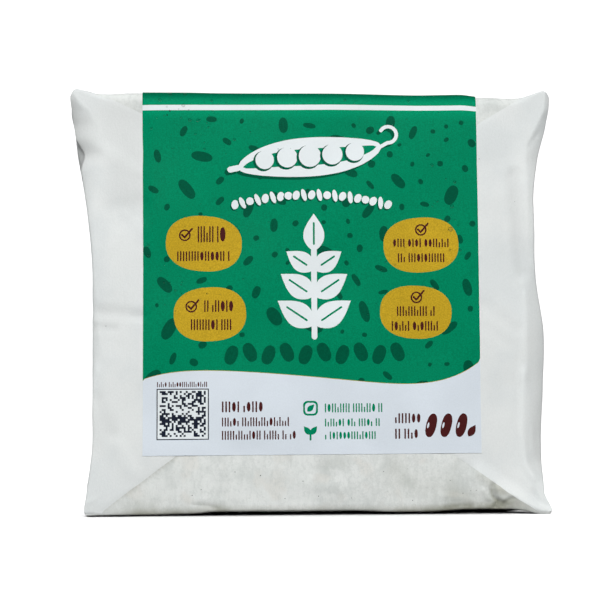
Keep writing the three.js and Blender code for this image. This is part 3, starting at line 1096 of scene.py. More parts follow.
@dataclass
class SideFlap:
    """A side flap folded over the front: double paper with a crisp slanting edge at each end."""

    form: PackForm
    finish: Material
    name: str
    side: int
    outline: Sequence[Point2]  # its edge on the front, from the foot to the top
    thickness: float = 0.1
    edge_thickness: float = 0.05
    root: float = 0.01
    feather: float = 1.6  # how far from its edge the flap reaches its full height
    wall_reach: float = 9.0  # how far it goes round the side wall before it is one with the wrap
    sunk: float = -0.25
    gap: float = 0.1  # from its outer to its inner side where both are sunk in the wrap
    step: float = 0.9

    def edge_at(self, height: Array) -> Array:
        """Where the flap's edge lies on the front."""
        outline = np.array(self.outline)
        return np.interp(height, outline[:, 1], outline[:, 0])

    def rows(self) -> list[float]:
        """Places the grid's rows: along the outline, then over the top edge.

        Returns:
            Their heights, which go on over the top edge.
        """
        ends = sorted({point[1] for point in self.outline})
        heights = [ends[0]]
        for low, high in zip(ends, ends[1:]):
            step = self.step if high < self.form.height - 2.0 * self.form.edge else self.step / 2.0
            heights = chain(heights, steps(low, high, max(1, math.ceil((high - low) / step))))
        top, turn = self.form.height, self.form.edge
        return chain(heights, steps(top, top + turn, 7), steps(top + turn, top + self.wall_reach, 8))

    def box_grid(self) -> tuple[Array, Array]:
        """The grid of the flap on the box.

        Returns:
            The box points, and for each how far the flap is still a layer of its own there.
        """
        form = self.form
        half = form.half
        across = chain(steps(0.0, 0.8, 26), steps(0.8, 0.93, 6), steps(0.93, 1.0, 8))
        around = chain(steps(0.0, form.side_edge, 6), steps(form.side_edge, self.wall_reach, 9))[1:]
        rows, shares = [], []
        for height in self.rows():
            over = max(0.0, height - form.height)
            edge = float(self.edge_at(np.array(min(height, form.height))))
            z = min(height, form.height) - half[2]
            row = [(edge + (self.side * half[0] - edge) * t, over) for t in across]
            row += [(self.side * half[0], max(over, turn)) for turn in around]
            rows.append([(x, -half[1] + back, z) for x, back in row])
            turns = [over] * len(across) + [max(over, turn) for turn in around]
            shares.append([1.0 - turn / self.wall_reach for turn in turns])
        return np.array(rows), np.array(shares)

    def build(self) -> Object:
        """Makes the flap.

        Returns:
            The flap's object.
        """
        box, share = self.box_grid()
        above = smooth(0.0, 0.7, box[..., 2] + self.form.half[2])
        hold = smooth(0.0, 0.75, share) * above
        inward = smooth(0.0, self.feather, np.abs(box[..., 0] - box[:, :1, 0]))
        height = self.edge_thickness + (self.thickness - self.edge_thickness) * inward
        outer = self.form.place(box, self.sunk + (height - self.sunk) * hold)
        inner = self.form.place(box, self.sunk - self.gap + (self.root - self.sunk + self.gap) * hold)
        faces = grid_faces(*box.shape[:2])
        if self.side < 0:
            faces = [tuple(reversed(face)) for face in faces]
        sheet = Surface(outer.reshape(-1, 3), faces).closed(inner.reshape(-1, 3))
        folds = self.form.folds(box, self.form.surface(box)[1]).ravel()
        values = {"cling": np.zeros(len(sheet.points)), "fold": np.concatenate([folds, folds])}
        return build_object(self.name, sheet, [self.finish], values)


@dataclass
class BackOverlap:
    """The end of the wrap's sheet, which laps over its beginning on the back."""

    form: PackForm
    finish: Material
    low_left: float = 36.0
    low_right: float = 39.5
    thickness: float = 0.16
    sunk: float = 0.1  # how deep its sides and its top end lie in the wrap
    root_sunk: float = 0.2
    root_rise: float = 0.24
    margins: Point2 = (0.4, 1.6)  # the margin's shares where the sheet ends, and where it lies free
    top_share: float = 0.93
    cling: float = 0.3
    step: float = 1.3

    def build(self) -> Object:
        """Makes the overlapping sheet down to its cut edge.

        Returns:
            The sheet's object.
        """
        form = self.form
        half = form.half
        margin = form.edge + 1.0
        margin_out, margin_in = (margin * share for share in self.margins)
        xs = np.array(steps(-half[0] + margin_out, half[0] - margin_out, round(form.width / self.step)))
        low = self.low_left + (self.low_right - self.low_left) * (xs / form.width + 0.5)
        shares = np.array(steps(0.0, 1.0, round((form.height - self.low_left) / self.step)))
        heights = low[None, :] + (form.height - 3.0 - low[None, :]) * shares[:, None]
        across = np.broadcast_to(xs, heights.shape)
        box = np.stack([across, np.full(heights.shape, half[1]), heights - half[2]], -1)
        at_side = smooth(half[0] - margin_out, half[0] - margin_in, np.abs(box[..., 0]))
        hold = at_side * smooth(1.0, self.top_share, shares)[:, None]
        outer = form.place(box, -self.sunk + (self.thickness + self.sunk) * hold)
        inner = form.place(box, -self.root_sunk + self.root_rise * hold)
        faces = [tuple(reversed(face)) for face in grid_faces(*box.shape[:2])]
        sheet = Surface(outer.reshape(-1, 3), faces).closed(inner.reshape(-1, 3))
        cling = np.full(len(sheet.points), self.cling)
        return build_object("back_overlap", sheet, [self.finish], {"cling": cling})


# ---- The label's print ----


@dataclass(frozen=True)
class Field:
    """One closed area of ink. Later fields cover earlier ones."""

    ink: Ink
    outline: Array


def turned(x: Array, y: Array, centre: Point2, degrees: float) -> Array:
    """Turns points about the origin by an angle and moves them to a centre."""
    c, s = math.cos(math.radians(degrees)), math.sin(math.radians(degrees))
    return np.stack([centre[0] + x * c - y * s, centre[1] + x * s + y * c], -1)


def arc(
    centre: Point2, radius: float, start: float, end: float, count: int, heading: float = 0.0
) -> list[Point2]:
    """Points along a part of a circle, from one angle in degrees to another, turned by heading in radians."""
    angles = [heading + math.radians(angle) for angle in steps(start, end, count)]
    return [(centre[0] + radius * math.cos(angle), centre[1] + radius * math.sin(angle)) for angle in angles]


def oval(centre: Point2, size: Point2, turn: float = 0.0, power: float = 2.0, count: int = 24) -> Array:
    """The outline of an oval.

    Args:
        centre: Its middle.
        size: Its full width and height.
        turn: Its turn in degrees.
        power: 2 for an ellipse, more for fuller corners.
        count: The number of points.

    Returns:
        The outline.
    """
    angle = np.linspace(0.0, FULL_TURN, count, endpoint=False)
    x, y = (
        np.sign(part) * np.abs(part) ** (2.0 / power) * full / 2.0
        for part, full in zip((np.cos(angle), np.sin(angle)), size)
    )
    return turned(x, y, centre, turn)


def leaf(root: Point2, length: float, width: float, turn: float, count: int = 12) -> Array:
    """The outline of a pointed leaf.

    Args:
        root: Where it starts.
        length: Its length.
        width: Its full width.
        turn: The direction it grows in, in degrees.
        count: The number of steps along one side.

    Returns:
        The outline.
    """
    t = np.linspace(0.0, 1.0, count + 1)
    bulge = width / 2.0 * np.sin(np.pi * t**0.8)
    x = np.concatenate([t, t[::-1][1:-1]]) * length
    return turned(x, np.concatenate([bulge, -bulge[::-1][1:-1]]), root, turn)


def bar(low: Point2, high: Point2, radius: float = 0.0, count: int = 3) -> Array:
    """The outline of an upright rectangle with rounded corners.

    Args:
        low: Its lower left corner.
        high: Its upper right corner.
        radius: The radius of its corners.
        count: The number of steps round a corner.

    Returns:
        The outline.
    """
    if radius <= 0.0:
        return np.array([low, (high[0], low[1]), high, (low[0], high[1])], float)
    left, right, foot, top = low[0] + radius, high[0] - radius, low[1] + radius, high[1] - radius
    centres = ((right, top), (left, top), (left, foot), (right, foot))
    quarters = (arc(centre, radius, 90.0 * i, 90.0 * i + 90.0, count) for i, centre in enumerate(centres))
    return np.array([point for quarter in quarters for point in quarter])


def stroke(path: Sequence[Point2], width: float, count: int = 6) -> list[Array]:
    """The outlines of a line with round ends, one for each stretch.

    Args:
        path: The points that it runs through.
        width: Its thickness.
        count: The number of steps round each end.

    Returns:
        The outlines, which overlap at the joints.
    """
    outlines = []
    for start, end in zip(path, path[1:]):
        heading = math.atan2(end[1] - start[1], end[0] - start[0])
        ends = ((end, -90.0), (start, 90.0))
        caps = (arc(centre, width / 2.0, first, first + 180.0, count, heading) for centre, first in ends)
        outlines.append(np.array([point for cap in caps for point in cap]))
    return outlines


def finer(outline: Array, longest: float) -> Array:
    """Divides an outline's long edges.

    Args:
        outline: The outline's points in order.
        longest: The longest edge that is left.

    Returns:
        The same outline with more points.
    """
    points = []
    for start, end in zip(outline, np.roll(outline, -1, axis=0)):
        parts = max(1, math.ceil(float(np.linalg.norm(end - start)) / longest))
        points.extend(start + (end - start) * i / parts for i in range(parts))
    return np.array(points)


@dataclass(frozen=True)
class Badge:
    """An ochre oval with a ringed tick and rows of plain marks.

    The tick's place and the lower left and upper right corners of the rows are measured from its middle.
    """

    centre: Point2
    size: Point2
    turn: float
    tick: Point2
    rows: tuple[tuple[Point2, Point2], ...]


BADGES = (
    Badge(
        (-29.6, 71.6), (20.0, 14.6), -4.0, (-5.0, 2.2),
        (((-1.6, 0.3), (6.2, 4.6)), ((-7.0, -4.6), (7.4, -2.0))),
    ),
    Badge(
        (-28.0, 53.0), (19.0, 14.2), 3.0, (-4.9, 2.0),
        (((-1.5, 0.6), (6.4, 3.7)), ((-5.0, -4.2), (5.6, -1.3))),
    ),
    Badge(
        (27.8, 71.2), (20.0, 14.6), 4.0, (0.0, 4.0),
        (((-7.4, -0.6), (7.4, 1.7)), ((-6.2, -4.6), (6.2, -2.2))),
    ),
    Badge(
        (26.2, 53.4), (19.0, 14.0), -3.0, (0.2, 3.9),
        (((-5.0, -1.0), (5.2, 1.6)), ((-6.4, -4.9), (6.2, -2.3))),
    ),
)
# Rows of marks on the label's foot: lower left corner, upper right corner and thickness
CHEQUER_ROWS = (((-41.8, 33.9), (-28.4, 35.3), 0.24),)
LEFT_ROWS = (
    ((-24.9, 27.2), (-14.0, 30.1), 0.42), ((-24.9, 23.5), (-7.2, 25.9), 0.34),
    ((-24.9, 20.0), (-5.9, 22.4), 0.34),
)
MIDDLE_ROWS = (
    ((2.0, 27.0), (17.2, 29.4), 0.34), ((2.0, 23.3), (16.8, 25.4), 0.34),
    ((2.0, 19.9), (15.4, 22.0), 0.34),
)
RIGHT_ROWS = (((20.4, 24.0), (26.8, 26.7), 0.42), ((20.4, 19.9), (26.8, 22.6), 0.42))


@dataclass
class Print:
    """The label's artwork: peas, leaves and plain marks, in millimetres across and up the label."""

    left: float = -45.5
    right: float = 43.2
    foot: float = 16.0
    fold: float = 111.8  # height of the label's fold over the top
    tail: float = 162.6  # end of the label, measured on up the front, over the top and down the back
    seed: int = 11
    stripe: float = 106.95  # height of the white stripe near the fold
    seed_sizes: tuple[tuple[float, float, int], ...] = ((3.9, 6.2, 26), (2.3, 3.8, 50), (1.1, 2.1, 80))
    seed_tries: int = 30
    seed_gap: Point2 = (0.62, 1.7)  # the least gap of two seeds: this share of their sizes, and this more
    wave_points: tuple[Point2, ...] = (
        (-45.6, 35.9), (-30.7, 38.1), (-20.2, 38.0), (-4.5, 36.7), (6.0, 35.6), (16.6, 34.8), (27.1, 34.6),
        (35.1, 35.9), (43.5, 40.8),
    )
    middle: float = -0.6  # of the sprig and the row of beans
    bean_height: float = 42.6
    bean_reach: Point2 = (25.0, 3.6)
    pod_place: Point2 = (-1.5, 94.6)
    pod_size: Point2 = (38.5, 10.4)
    chequer_corners: tuple[Point2, Point2] = ((-41.9, 20.1), (-28.3, 33.5))
    chequer_rim: float = 0.26
    chequer_margin: float = 0.8
    cells: int = 23  # in a row of the chequer
    cell_share: float = 0.52  # how many of them are dark
    leaf_pairs: tuple[tuple[float, float, float, float], ...] = (
        # height, length and width of the leaves, and length of their veins
        (50.0, 11.6, 6.6, 8.6), (57.6, 10.6, 6.2, 7.8), (64.6, 8.8, 5.4, 6.4),
    )
    fields: list[Field] = field(default_factory=list)

    def add(self, ink: Ink, *outlines: Array) -> None:
        """Lays fields of one ink on top of the others."""
        self.fields.extend(Field(ink, outline) for outline in outlines)

    def wave(self) -> Array:
        """The upper edge of the pale foot, from left to right."""
        xs = np.linspace(self.left - 1.0, self.right + 1.0, 60)
        return np.stack([xs, np.polyval(np.polyfit(*np.transpose(self.wave_points), 5), xs)], -1)

    def scatter(self, top_low: float, top_high: float) -> None:
        """Scatters dark seeds that leave the stripes and the row of beans clear.

        Args:
            top_low: The height of the lower stripe.
            top_high: The height of the upper one.
        """
        rng = np.random.default_rng(self.seed)
        (aside, above), (share, gap) = self.bean_reach, self.seed_gap
        placed: list[Point3] = []
        for size in np.concatenate([rng.uniform(*sizes) for sizes in self.seed_sizes]):
            for _ in range(self.seed_tries):
                x, y = rng.uniform(self.left + 1.0, self.right - 1.0), rng.uniform(33.0, self.tail - 3.0)
                off_stripes = abs(y - (top_low + top_high) / 2.0) > (top_high - top_low + size) / 2.0
                off_beans = abs(y - self.bean_height) > above + size / 2.0
                off_beans = off_beans or abs(x - self.middle) > aside + size / 2.0
                apart = all(math.hypot(x - a, y - b) > (size + c) * share + gap for a, b, c in placed)
                if off_stripes and off_beans and apart:
                    placed.append((x, y, size))
                    slender = rng.uniform(0.42, 0.66) if size > 2.4 else rng.uniform(0.7, 1.0)
                    shape = oval((x, y), (size, size * slender), rng.uniform(0.0, 180.0), 2.2, 20)
                    self.add(Ink.LEAF_SHADE, shape)
                    break

    def ground(self) -> None:
        """The green ground, the scattered seeds, the white stripes and the pale foot."""
        left, right, foot = self.left - 1.0, self.right + 1.0, self.foot - 1.0
        self.add(Ink.GREEN, bar((left, foot), (right, self.tail + 1.0)))
        stripes = ((self.stripe, 0.5), (self.tail - (self.fold - self.stripe), 0.0))
        self.scatter(stripes[0][0], stripes[1][0])
        wave, below = self.wave(), np.array([(right, foot), (left, foot)])
        self.add(Ink.OCHRE, np.concatenate([wave + (0.0, 0.1), below]))
        self.add(Ink.PALE, np.concatenate([wave, below]))
        for low, slant in stripes:
            right_end = (right, low + slant), (right, low + slant + 1.36)
            self.add(Ink.WHITE, np.array([(left, low), *right_end, (left, low + 1.42)]))

    def pod(self) -> None:
        """An open pod with five peas and a curl, over its own shade."""
        (middle, height), (length, depth) = self.pod_place, self.pod_size

        def bend(t: Values) -> Values:
            """How high the pod's middle line is, from -1 at its left end to 1 at its right end."""
            return height + (1.6 * t**3 + 1.2 * t)

        def hull(grow: float, fullness: float) -> Array:
            """The pod's boat-shaped outline.

            Args:
                grow: How much further out it runs, all round.
                fullness: Its depth as a share of the pod's.

            Returns:
                The outline.
            """
            t = np.linspace(-1.0, 1.0, 41)
            x = middle + t * (length / 2.0 + grow)
            side = (depth / 2.0 * fullness + grow) * np.sqrt(np.clip(1.0 - t**2, 0.0, None)) ** 1.15
            low, high = np.stack([x, bend(t) - side], -1), np.stack([x, bend(t) + side], -1)
            return np.concatenate([low, high[::-1][1:-1]])

        curl = [(17.0, 97.2), (19.2, 98.4), *arc((19.4, 100.6), 2.2, -90.0, 150.0, 12)]
        pieces = [hull(0.0, 1.0), *stroke(curl, 0.95), *stroke([(-20.6, 91.6), (-22.6, 91.2)], 1.6)]
        self.add(Ink.LEAF_SHADE, *(outline - 0.75 for outline in pieces))
        self.add(Ink.WHITE, *pieces)
        self.add(Ink.GREEN, hull(-1.5, 0.72))
        for place in range(-2, 3):
            size = 6.4 - 0.5 * abs(place)
            x = middle + place * 6.0
            y = bend((x - middle) / (length / 2.0)) + 0.3
            self.add(Ink.LEAF_SHADE, oval((x - 0.35, y - 0.35), (size, size)))
            self.add(Ink.WHITE, oval((x, y), (size - 0.5, size - 0.5)))

    def seed_arc(self) -> None:
        """An arched row of small white seeds over their own shade."""
        for i, angle in enumerate(steps(104.6, 75.4, 20)):
            x, y = arc((-1.1, 4.0), 80.5, angle, angle, 1)[0]
            size, turn = ((1.35, 3.3), angle - 90.0 + 14.0) if i % 2 else ((1.9, 2.5), angle - 90.0 - 20.0)
            if i % 5 == 2:
                size = (2.1, 2.1)
            self.add(Ink.LEAF_SHADE, oval((x - 0.3, y - 0.4), size, turn, count=14))
            self.add(Ink.WHITE, oval((x, y), size, turn, count=14))

    def sprig(self) -> None:
        """A white sprig: a stem with pairs of leaves and a tip, each with a green vein."""
        x = self.middle
        self.add(Ink.WHITE, *stroke([(x, 47.0), (x, 71.0)], 1.5))
        pairs = [(*pair, turn) for pair in self.leaf_pairs for turn in (34.0, 146.0)]
        for height, length, width, _, turn in pairs:
            self.add(Ink.WHITE, leaf((x, height), length, width, turn))
        self.add(Ink.WHITE, leaf((x, 69.5), 10.0, 5.6, 90.0))
        for height, _, _, vein, turn in pairs:
            tip, start = (arc((x, height), reach, turn, turn, 1)[0] for reach in (vein, 2.4))
            self.add(Ink.GREEN, *stroke([start, tip], 0.5))
        self.add(Ink.GREEN, *stroke([(x, 71.5), (x, 77.0)], 0.5))

    def bean_row(self) -> None:
        """A row of dark green beans."""
        for i in range(10):
            up, turn = (0.35, 24.0) if i % 2 else (-0.35, -20.0)
            place = (-22.4 + i * 4.85, self.bean_height + up)
            self.add(Ink.LEAF_SHADE, oval(place, (3.3, 5.2), turn, 2.3))

    def marks(self, ink: Ink, low: Point2, high: Point2, thickness: float = 0.36) -> None:
        """A row of plain upright dashes and dots that fills a line of small print.

        Args:
            ink: The ink.
            low: The row's lower left corner.
            high: The row's upper right corner.
            thickness: The thickness of a dash.
        """
        rng = np.random.default_rng(self.seed + len(self.fields))
        (x, foot), tall = low, high[1] - low[1]
        while x + thickness <= high[0]:
            kind = rng.integers(0, 6)
            if kind == 0:
                self.add(ink, oval((x + tall * 0.17, foot + tall * 0.5), (tall * 0.34, tall * 0.9), count=12))
                x += tall * 0.34
            else:
                top = foot + tall * 0.6 if kind == 1 else high[1]
                self.add(ink, bar((x, foot), (x + thickness, top), thickness * 0.4, 2))
                x += thickness
            x += thickness * (1.1 if kind else 1.0) * (2.4 if rng.random() < 0.1 else 1.0)

    def badges(self) -> None:
        """The four ochre badges."""
        for badge in BADGES:
            self.add(Ink.OCHRE, oval(badge.centre, badge.size, badge.turn, 2.35, 48))
            x, y = badge.centre[0] + badge.tick[0], badge.centre[1] + badge.tick[1]
            self.add(Ink.BROWN, oval((x, y), (3.1, 3.1), count=20))
            self.add(Ink.OCHRE, oval((x, y), (2.3, 2.3), count=20))
            tick = [(x - 0.75, y + 0.15), (x - 0.05, y - 0.6), (x + 1.9, y + 1.7)]
            self.add(Ink.BROWN, *stroke(tick, 0.5))
            for corners in badge.rows:
                self.marks(Ink.BROWN, *((badge.centre[0] + x, badge.centre[1] + y) for x, y in corners))

    def chequer(self) -> None:
        """A framed block of random dark squares, each row's neighbours joined into one bar."""
        ((left, foot), (right, top)), count, margin = self.chequer_corners, self.cells, self.chequer_margin
        self.add(Ink.NIGHT, bar((left, foot), (right, top)))
        rim = self.chequer_rim
        self.add(Ink.WHITE, bar((left + rim, foot + rim), (right - rim, top - rim)))
        pitch = (right - left - 2.0 * margin) / count
        filled = np.random.default_rng(self.seed + 5).random((count, count)) < self.cell_share
        for row in range(count):
            y = foot + margin + row * pitch
            changes = np.flatnonzero(np.diff(filled[row], prepend=False, append=False))
            for first, last in changes.reshape(-1, 2).tolist():
                x = left + margin + first * pitch
                self.add(Ink.NIGHT, bar((x, y), (x + (last - first) * pitch, y + pitch)))

    def rows(self, ink: Ink, rows: Sequence[tuple[Point2, Point2, float]]) -> None:
        """Fills rows with marks, each given by its corners and its marks' thickness."""
        for low, high, thickness in rows:
            self.marks(ink, low, high, thickness)

    def foot_marks(self) -> None:
        """The small marks on the pale foot."""
        self.rows(Ink.BROWN, CHEQUER_ROWS)
        self.chequer()
        self.rows(Ink.BROWN, LEFT_ROWS)
        self.add(Ink.GREEN, bar((-3.7, 26.2), (0.2, 30.1), 1.1))
        self.add(Ink.PALE, bar((-3.2, 26.7), (-0.3, 29.6), 0.8))
        self.add(Ink.GREEN, leaf((-2.6, 27.3), 2.6, 1.4, 45.0), *stroke([(-1.8, 19.9), (-1.8, 22.0)], 0.5))
        self.add(Ink.GREEN, *(leaf((-1.8, 21.2), 2.8, 1.5, turn) for turn in (52.0, 128.0)))
        self.rows(Ink.GREEN, MIDDLE_ROWS)
        self.rows(Ink.BROWN, RIGHT_ROWS)
        for i in range(3):
            x = 29.9 + i * 4.0
            self.add(Ink.BROWN, oval((x, 23.4), (2.7, 6.4), -14.0, 2.3, 28))
            self.add(Ink.PALE, oval((x - 0.8, 23.4), (0.5, 1.6), -14.0, count=14))
        self.add(Ink.BROWN, leaf((39.7, 20.4), 3.6, 1.9, 58.0))

    def tail_panel(self) -> None:
        """The pale panel with rows of marks on the back."""
        over = self.tail - 17.6
        self.add(Ink.PALE, bar((-36.0, over), (36.0, over + 11.0), 1.6))
        for row in range(4):
            y = over + 1.3 + row * 2.35
            self.marks(Ink.BROWN, (-33.0, y), (33.0 - 7.0 * (row % 3), y + 1.4), 0.26)

    def compose(self) -> list[Field]:
        """Lays down the whole print.

        Returns:
            The fields in the order in which they are printed.
        """
        middle = (self.pod, self.seed_arc, self.sprig, self.bean_row, self.badges)
        for part in (self.ground, *middle, self.foot_marks, self.tail_panel):
            part()
        self.add(Ink.CUT, bar((self.right - 0.1, self.foot - 1.0), (self.right + 1.0, self.tail + 1.0)))
        return self.fields


def inside(outline: Array, points: Array) -> Array:
    """Tells which points lie inside an outline.

    Args:
        outline: The outline's points in order.
        points: The points to test.

    Returns:
        True for each point inside.
    """
    low, high = outline.min(0), outline.max(0)
    near = np.all((points >= low) & (points <= high), axis=1)
    found = np.zeros(len(points), bool)
    if not near.any():
        return found
    x, y = points[near, 0], points[near, 1]
    odd = np.zeros(len(x), bool)
    for (ax, ay), (bx, by) in zip(outline, np.roll(outline, -1, axis=0)):
        if ay == by:
            continue
        crosses = (ay > y) != (by > y)
        odd ^= crosses & (x < ax + (y - ay) * (bx - ax) / (by - ay))
    found[near] = odd
    return found


@dataclass
class PrintedLabel:
    """The label: one sheet up the front, over the top and down the back, with its print."""

    form: PackForm
    print: Print
    finishes: Sequence[Material]
    outer: float = 0.26
    middle: float = 0.14
    overlap: float = 0.1  # how much higher it lies on the back, over the end of the wrap's sheet
    thickness: float = 0.06
    flap_edges: Point2 = (-34.6, 35.2)
    bridge: float = 9.0
    grid: float = 1.25
    fold_grid: float = 0.55
    longest: float = 0.6
    normal_gap: float = 0.25
    skew: float = 0.011
    foot_rise: float = 0.3  # how much higher the label's foot is at the right

    def on_box(self, flat: Array) -> Array:
        """Lays points of the flat label onto the box.

        Args:
            flat: Points across and up the label; up goes on over the top and down the back.

        Returns:
            The box points, measured from the box's centre.
        """
        half = self.form.half
        slant = (flat[:, 0] / self.form.width + 0.5) * smooth(50.0, 16.0, flat[:, 1])
        up = flat[:, 1] + self.foot_rise * slant - half[2]
        over = np.clip(up - half[2], 0.0, self.form.depth)
        down = np.clip(up - half[2] - self.form.depth, 0.0, None)
        x = flat[:, 0] * (1.0 + self.skew * (0.5 - np.clip(flat[:, 1] / self.form.height, 0.0, 1.0)))
        return np.stack([x, over - half[1], np.minimum(up, half[2]) - down], -1)

    def rise(self, flat: Array) -> Array:
        """The label's height above the paper: more where it lies on a flap or on the back's overlap.

        Args:
            flat: Points across and up the label.

        Returns:
            The height of its printed side.
        """
        (left, right), form = self.flap_edges, self.form
        ends = (left + self.bridge, left), (right - self.bridge, right)
        on_flap = np.maximum(*(smooth(start, end, flat[:, 0]) for start, end in ends))
        on_back = smooth(form.height + form.edge, form.height + form.depth / 2.0, flat[:, 1])
        lifted = np.maximum(on_flap, on_back)
        return self.middle + (self.outer - self.middle) * lifted + self.overlap * on_back

    def flat_mesh(self) -> tuple[Array, Faces, list[int]]:
        """Cuts the flat label into triangles along the borders of its inks.

        Returns:
            The flat points, the triangles and the ink number of each.
        """
        art = self.print
        fold, edge, depth = self.form.height, self.form.edge, self.form.depth
        ends = (art.foot, fold - edge, fold + edge, fold + depth - edge, fold + depth + edge, art.tail)
        grids = (self.grid, self.fold_grid, self.grid, self.fold_grid, self.grid)
        stretches = zip(ends, ends[1:], grids)
        ys = chain(*(steps(low, high, round((high - low) / grid)) for low, high, grid in stretches))
        xs = steps(art.left, art.right, round((art.right - art.left) / self.grid))
        fields, corners = art.compose(), ((art.left, art.foot), (art.right, art.tail))
        outlines = [finer(np.clip(printed.outline, *corners), self.longest) for printed in fields]
        points = [(x, y) for y in ys for x in xs]
        edges = []
        for outline in outlines:
            first = len(points)
            points.extend(map(tuple, outline))
            edges.extend((first + i, first + (i + 1) % len(outline)) for i in range(len(outline)))
        flat, _, triangles, *_ = delaunay_2d_cdt([Vector(p) for p in points], edges, [], 0, 1e-4)
        flat = np.array([tuple(p) for p in flat])
        triangles = [tuple(t) for t in triangles]
        centres = flat[np.array(triangles)].mean(axis=1)
        inks = np.zeros(len(triangles), int)
        for printed, outline in zip(fields, outlines):
            inks[inside(outline, centres)] = printed.ink.value
        return flat, triangles, inks.tolist()

    def layer(self, flat: Array, below: float = 0.0) -> Array:
        """The places on the pack of points of the flat label, at its printed side or this far below it."""
        return self.form.place(self.on_box(flat), self.rise(flat) - below)

    def build(self) -> Object:
        """Makes the label.

        Returns:
            The label's object.
        """
        flat, triangles, inks = self.flat_mesh()
        inner = self.layer(flat, self.thickness)
        sheet = Surface(self.layer(flat), triangles, inks).closed(inner, Ink.CUT.value)
        made = build_object("printed_label", sheet, self.finishes)
        self.smooth_normals(made, flat, len(triangles))
        return made

    def smooth_normals(self, label: Object, flat: Array, count: int) -> None:
        """Gives the printed side the form's own normals, so that the ink borders don't shade.

        Args:
            label: The label's object.
            flat: The flat points of the printed side.
            count: The number of its triangles.
        """
        shifts = ((self.normal_gap, 0.0), (0.0, self.normal_gap))
        normals = np.cross(*(self.layer(flat + shift) - self.layer(flat - shift) for shift in shifts))
        normals /= np.linalg.norm(normals, axis=1, keepdims=True)
        mesh = label.data
        loops = np.zeros((len(mesh.loops), 3))
        for polygon in mesh.polygons[:count]:
            for loop in polygon.loop_indices:
                loops[loop] = normals[mesh.loops[loop].vertex_index]
        mesh.normals_split_custom_set(loops.tolist())


# ---- Water drops and flecks ----


@dataclass(frozen=True)
class Mist:
    """An area of the label where small drops gather."""

    centre: Point2
    size: Point2
    strength: float


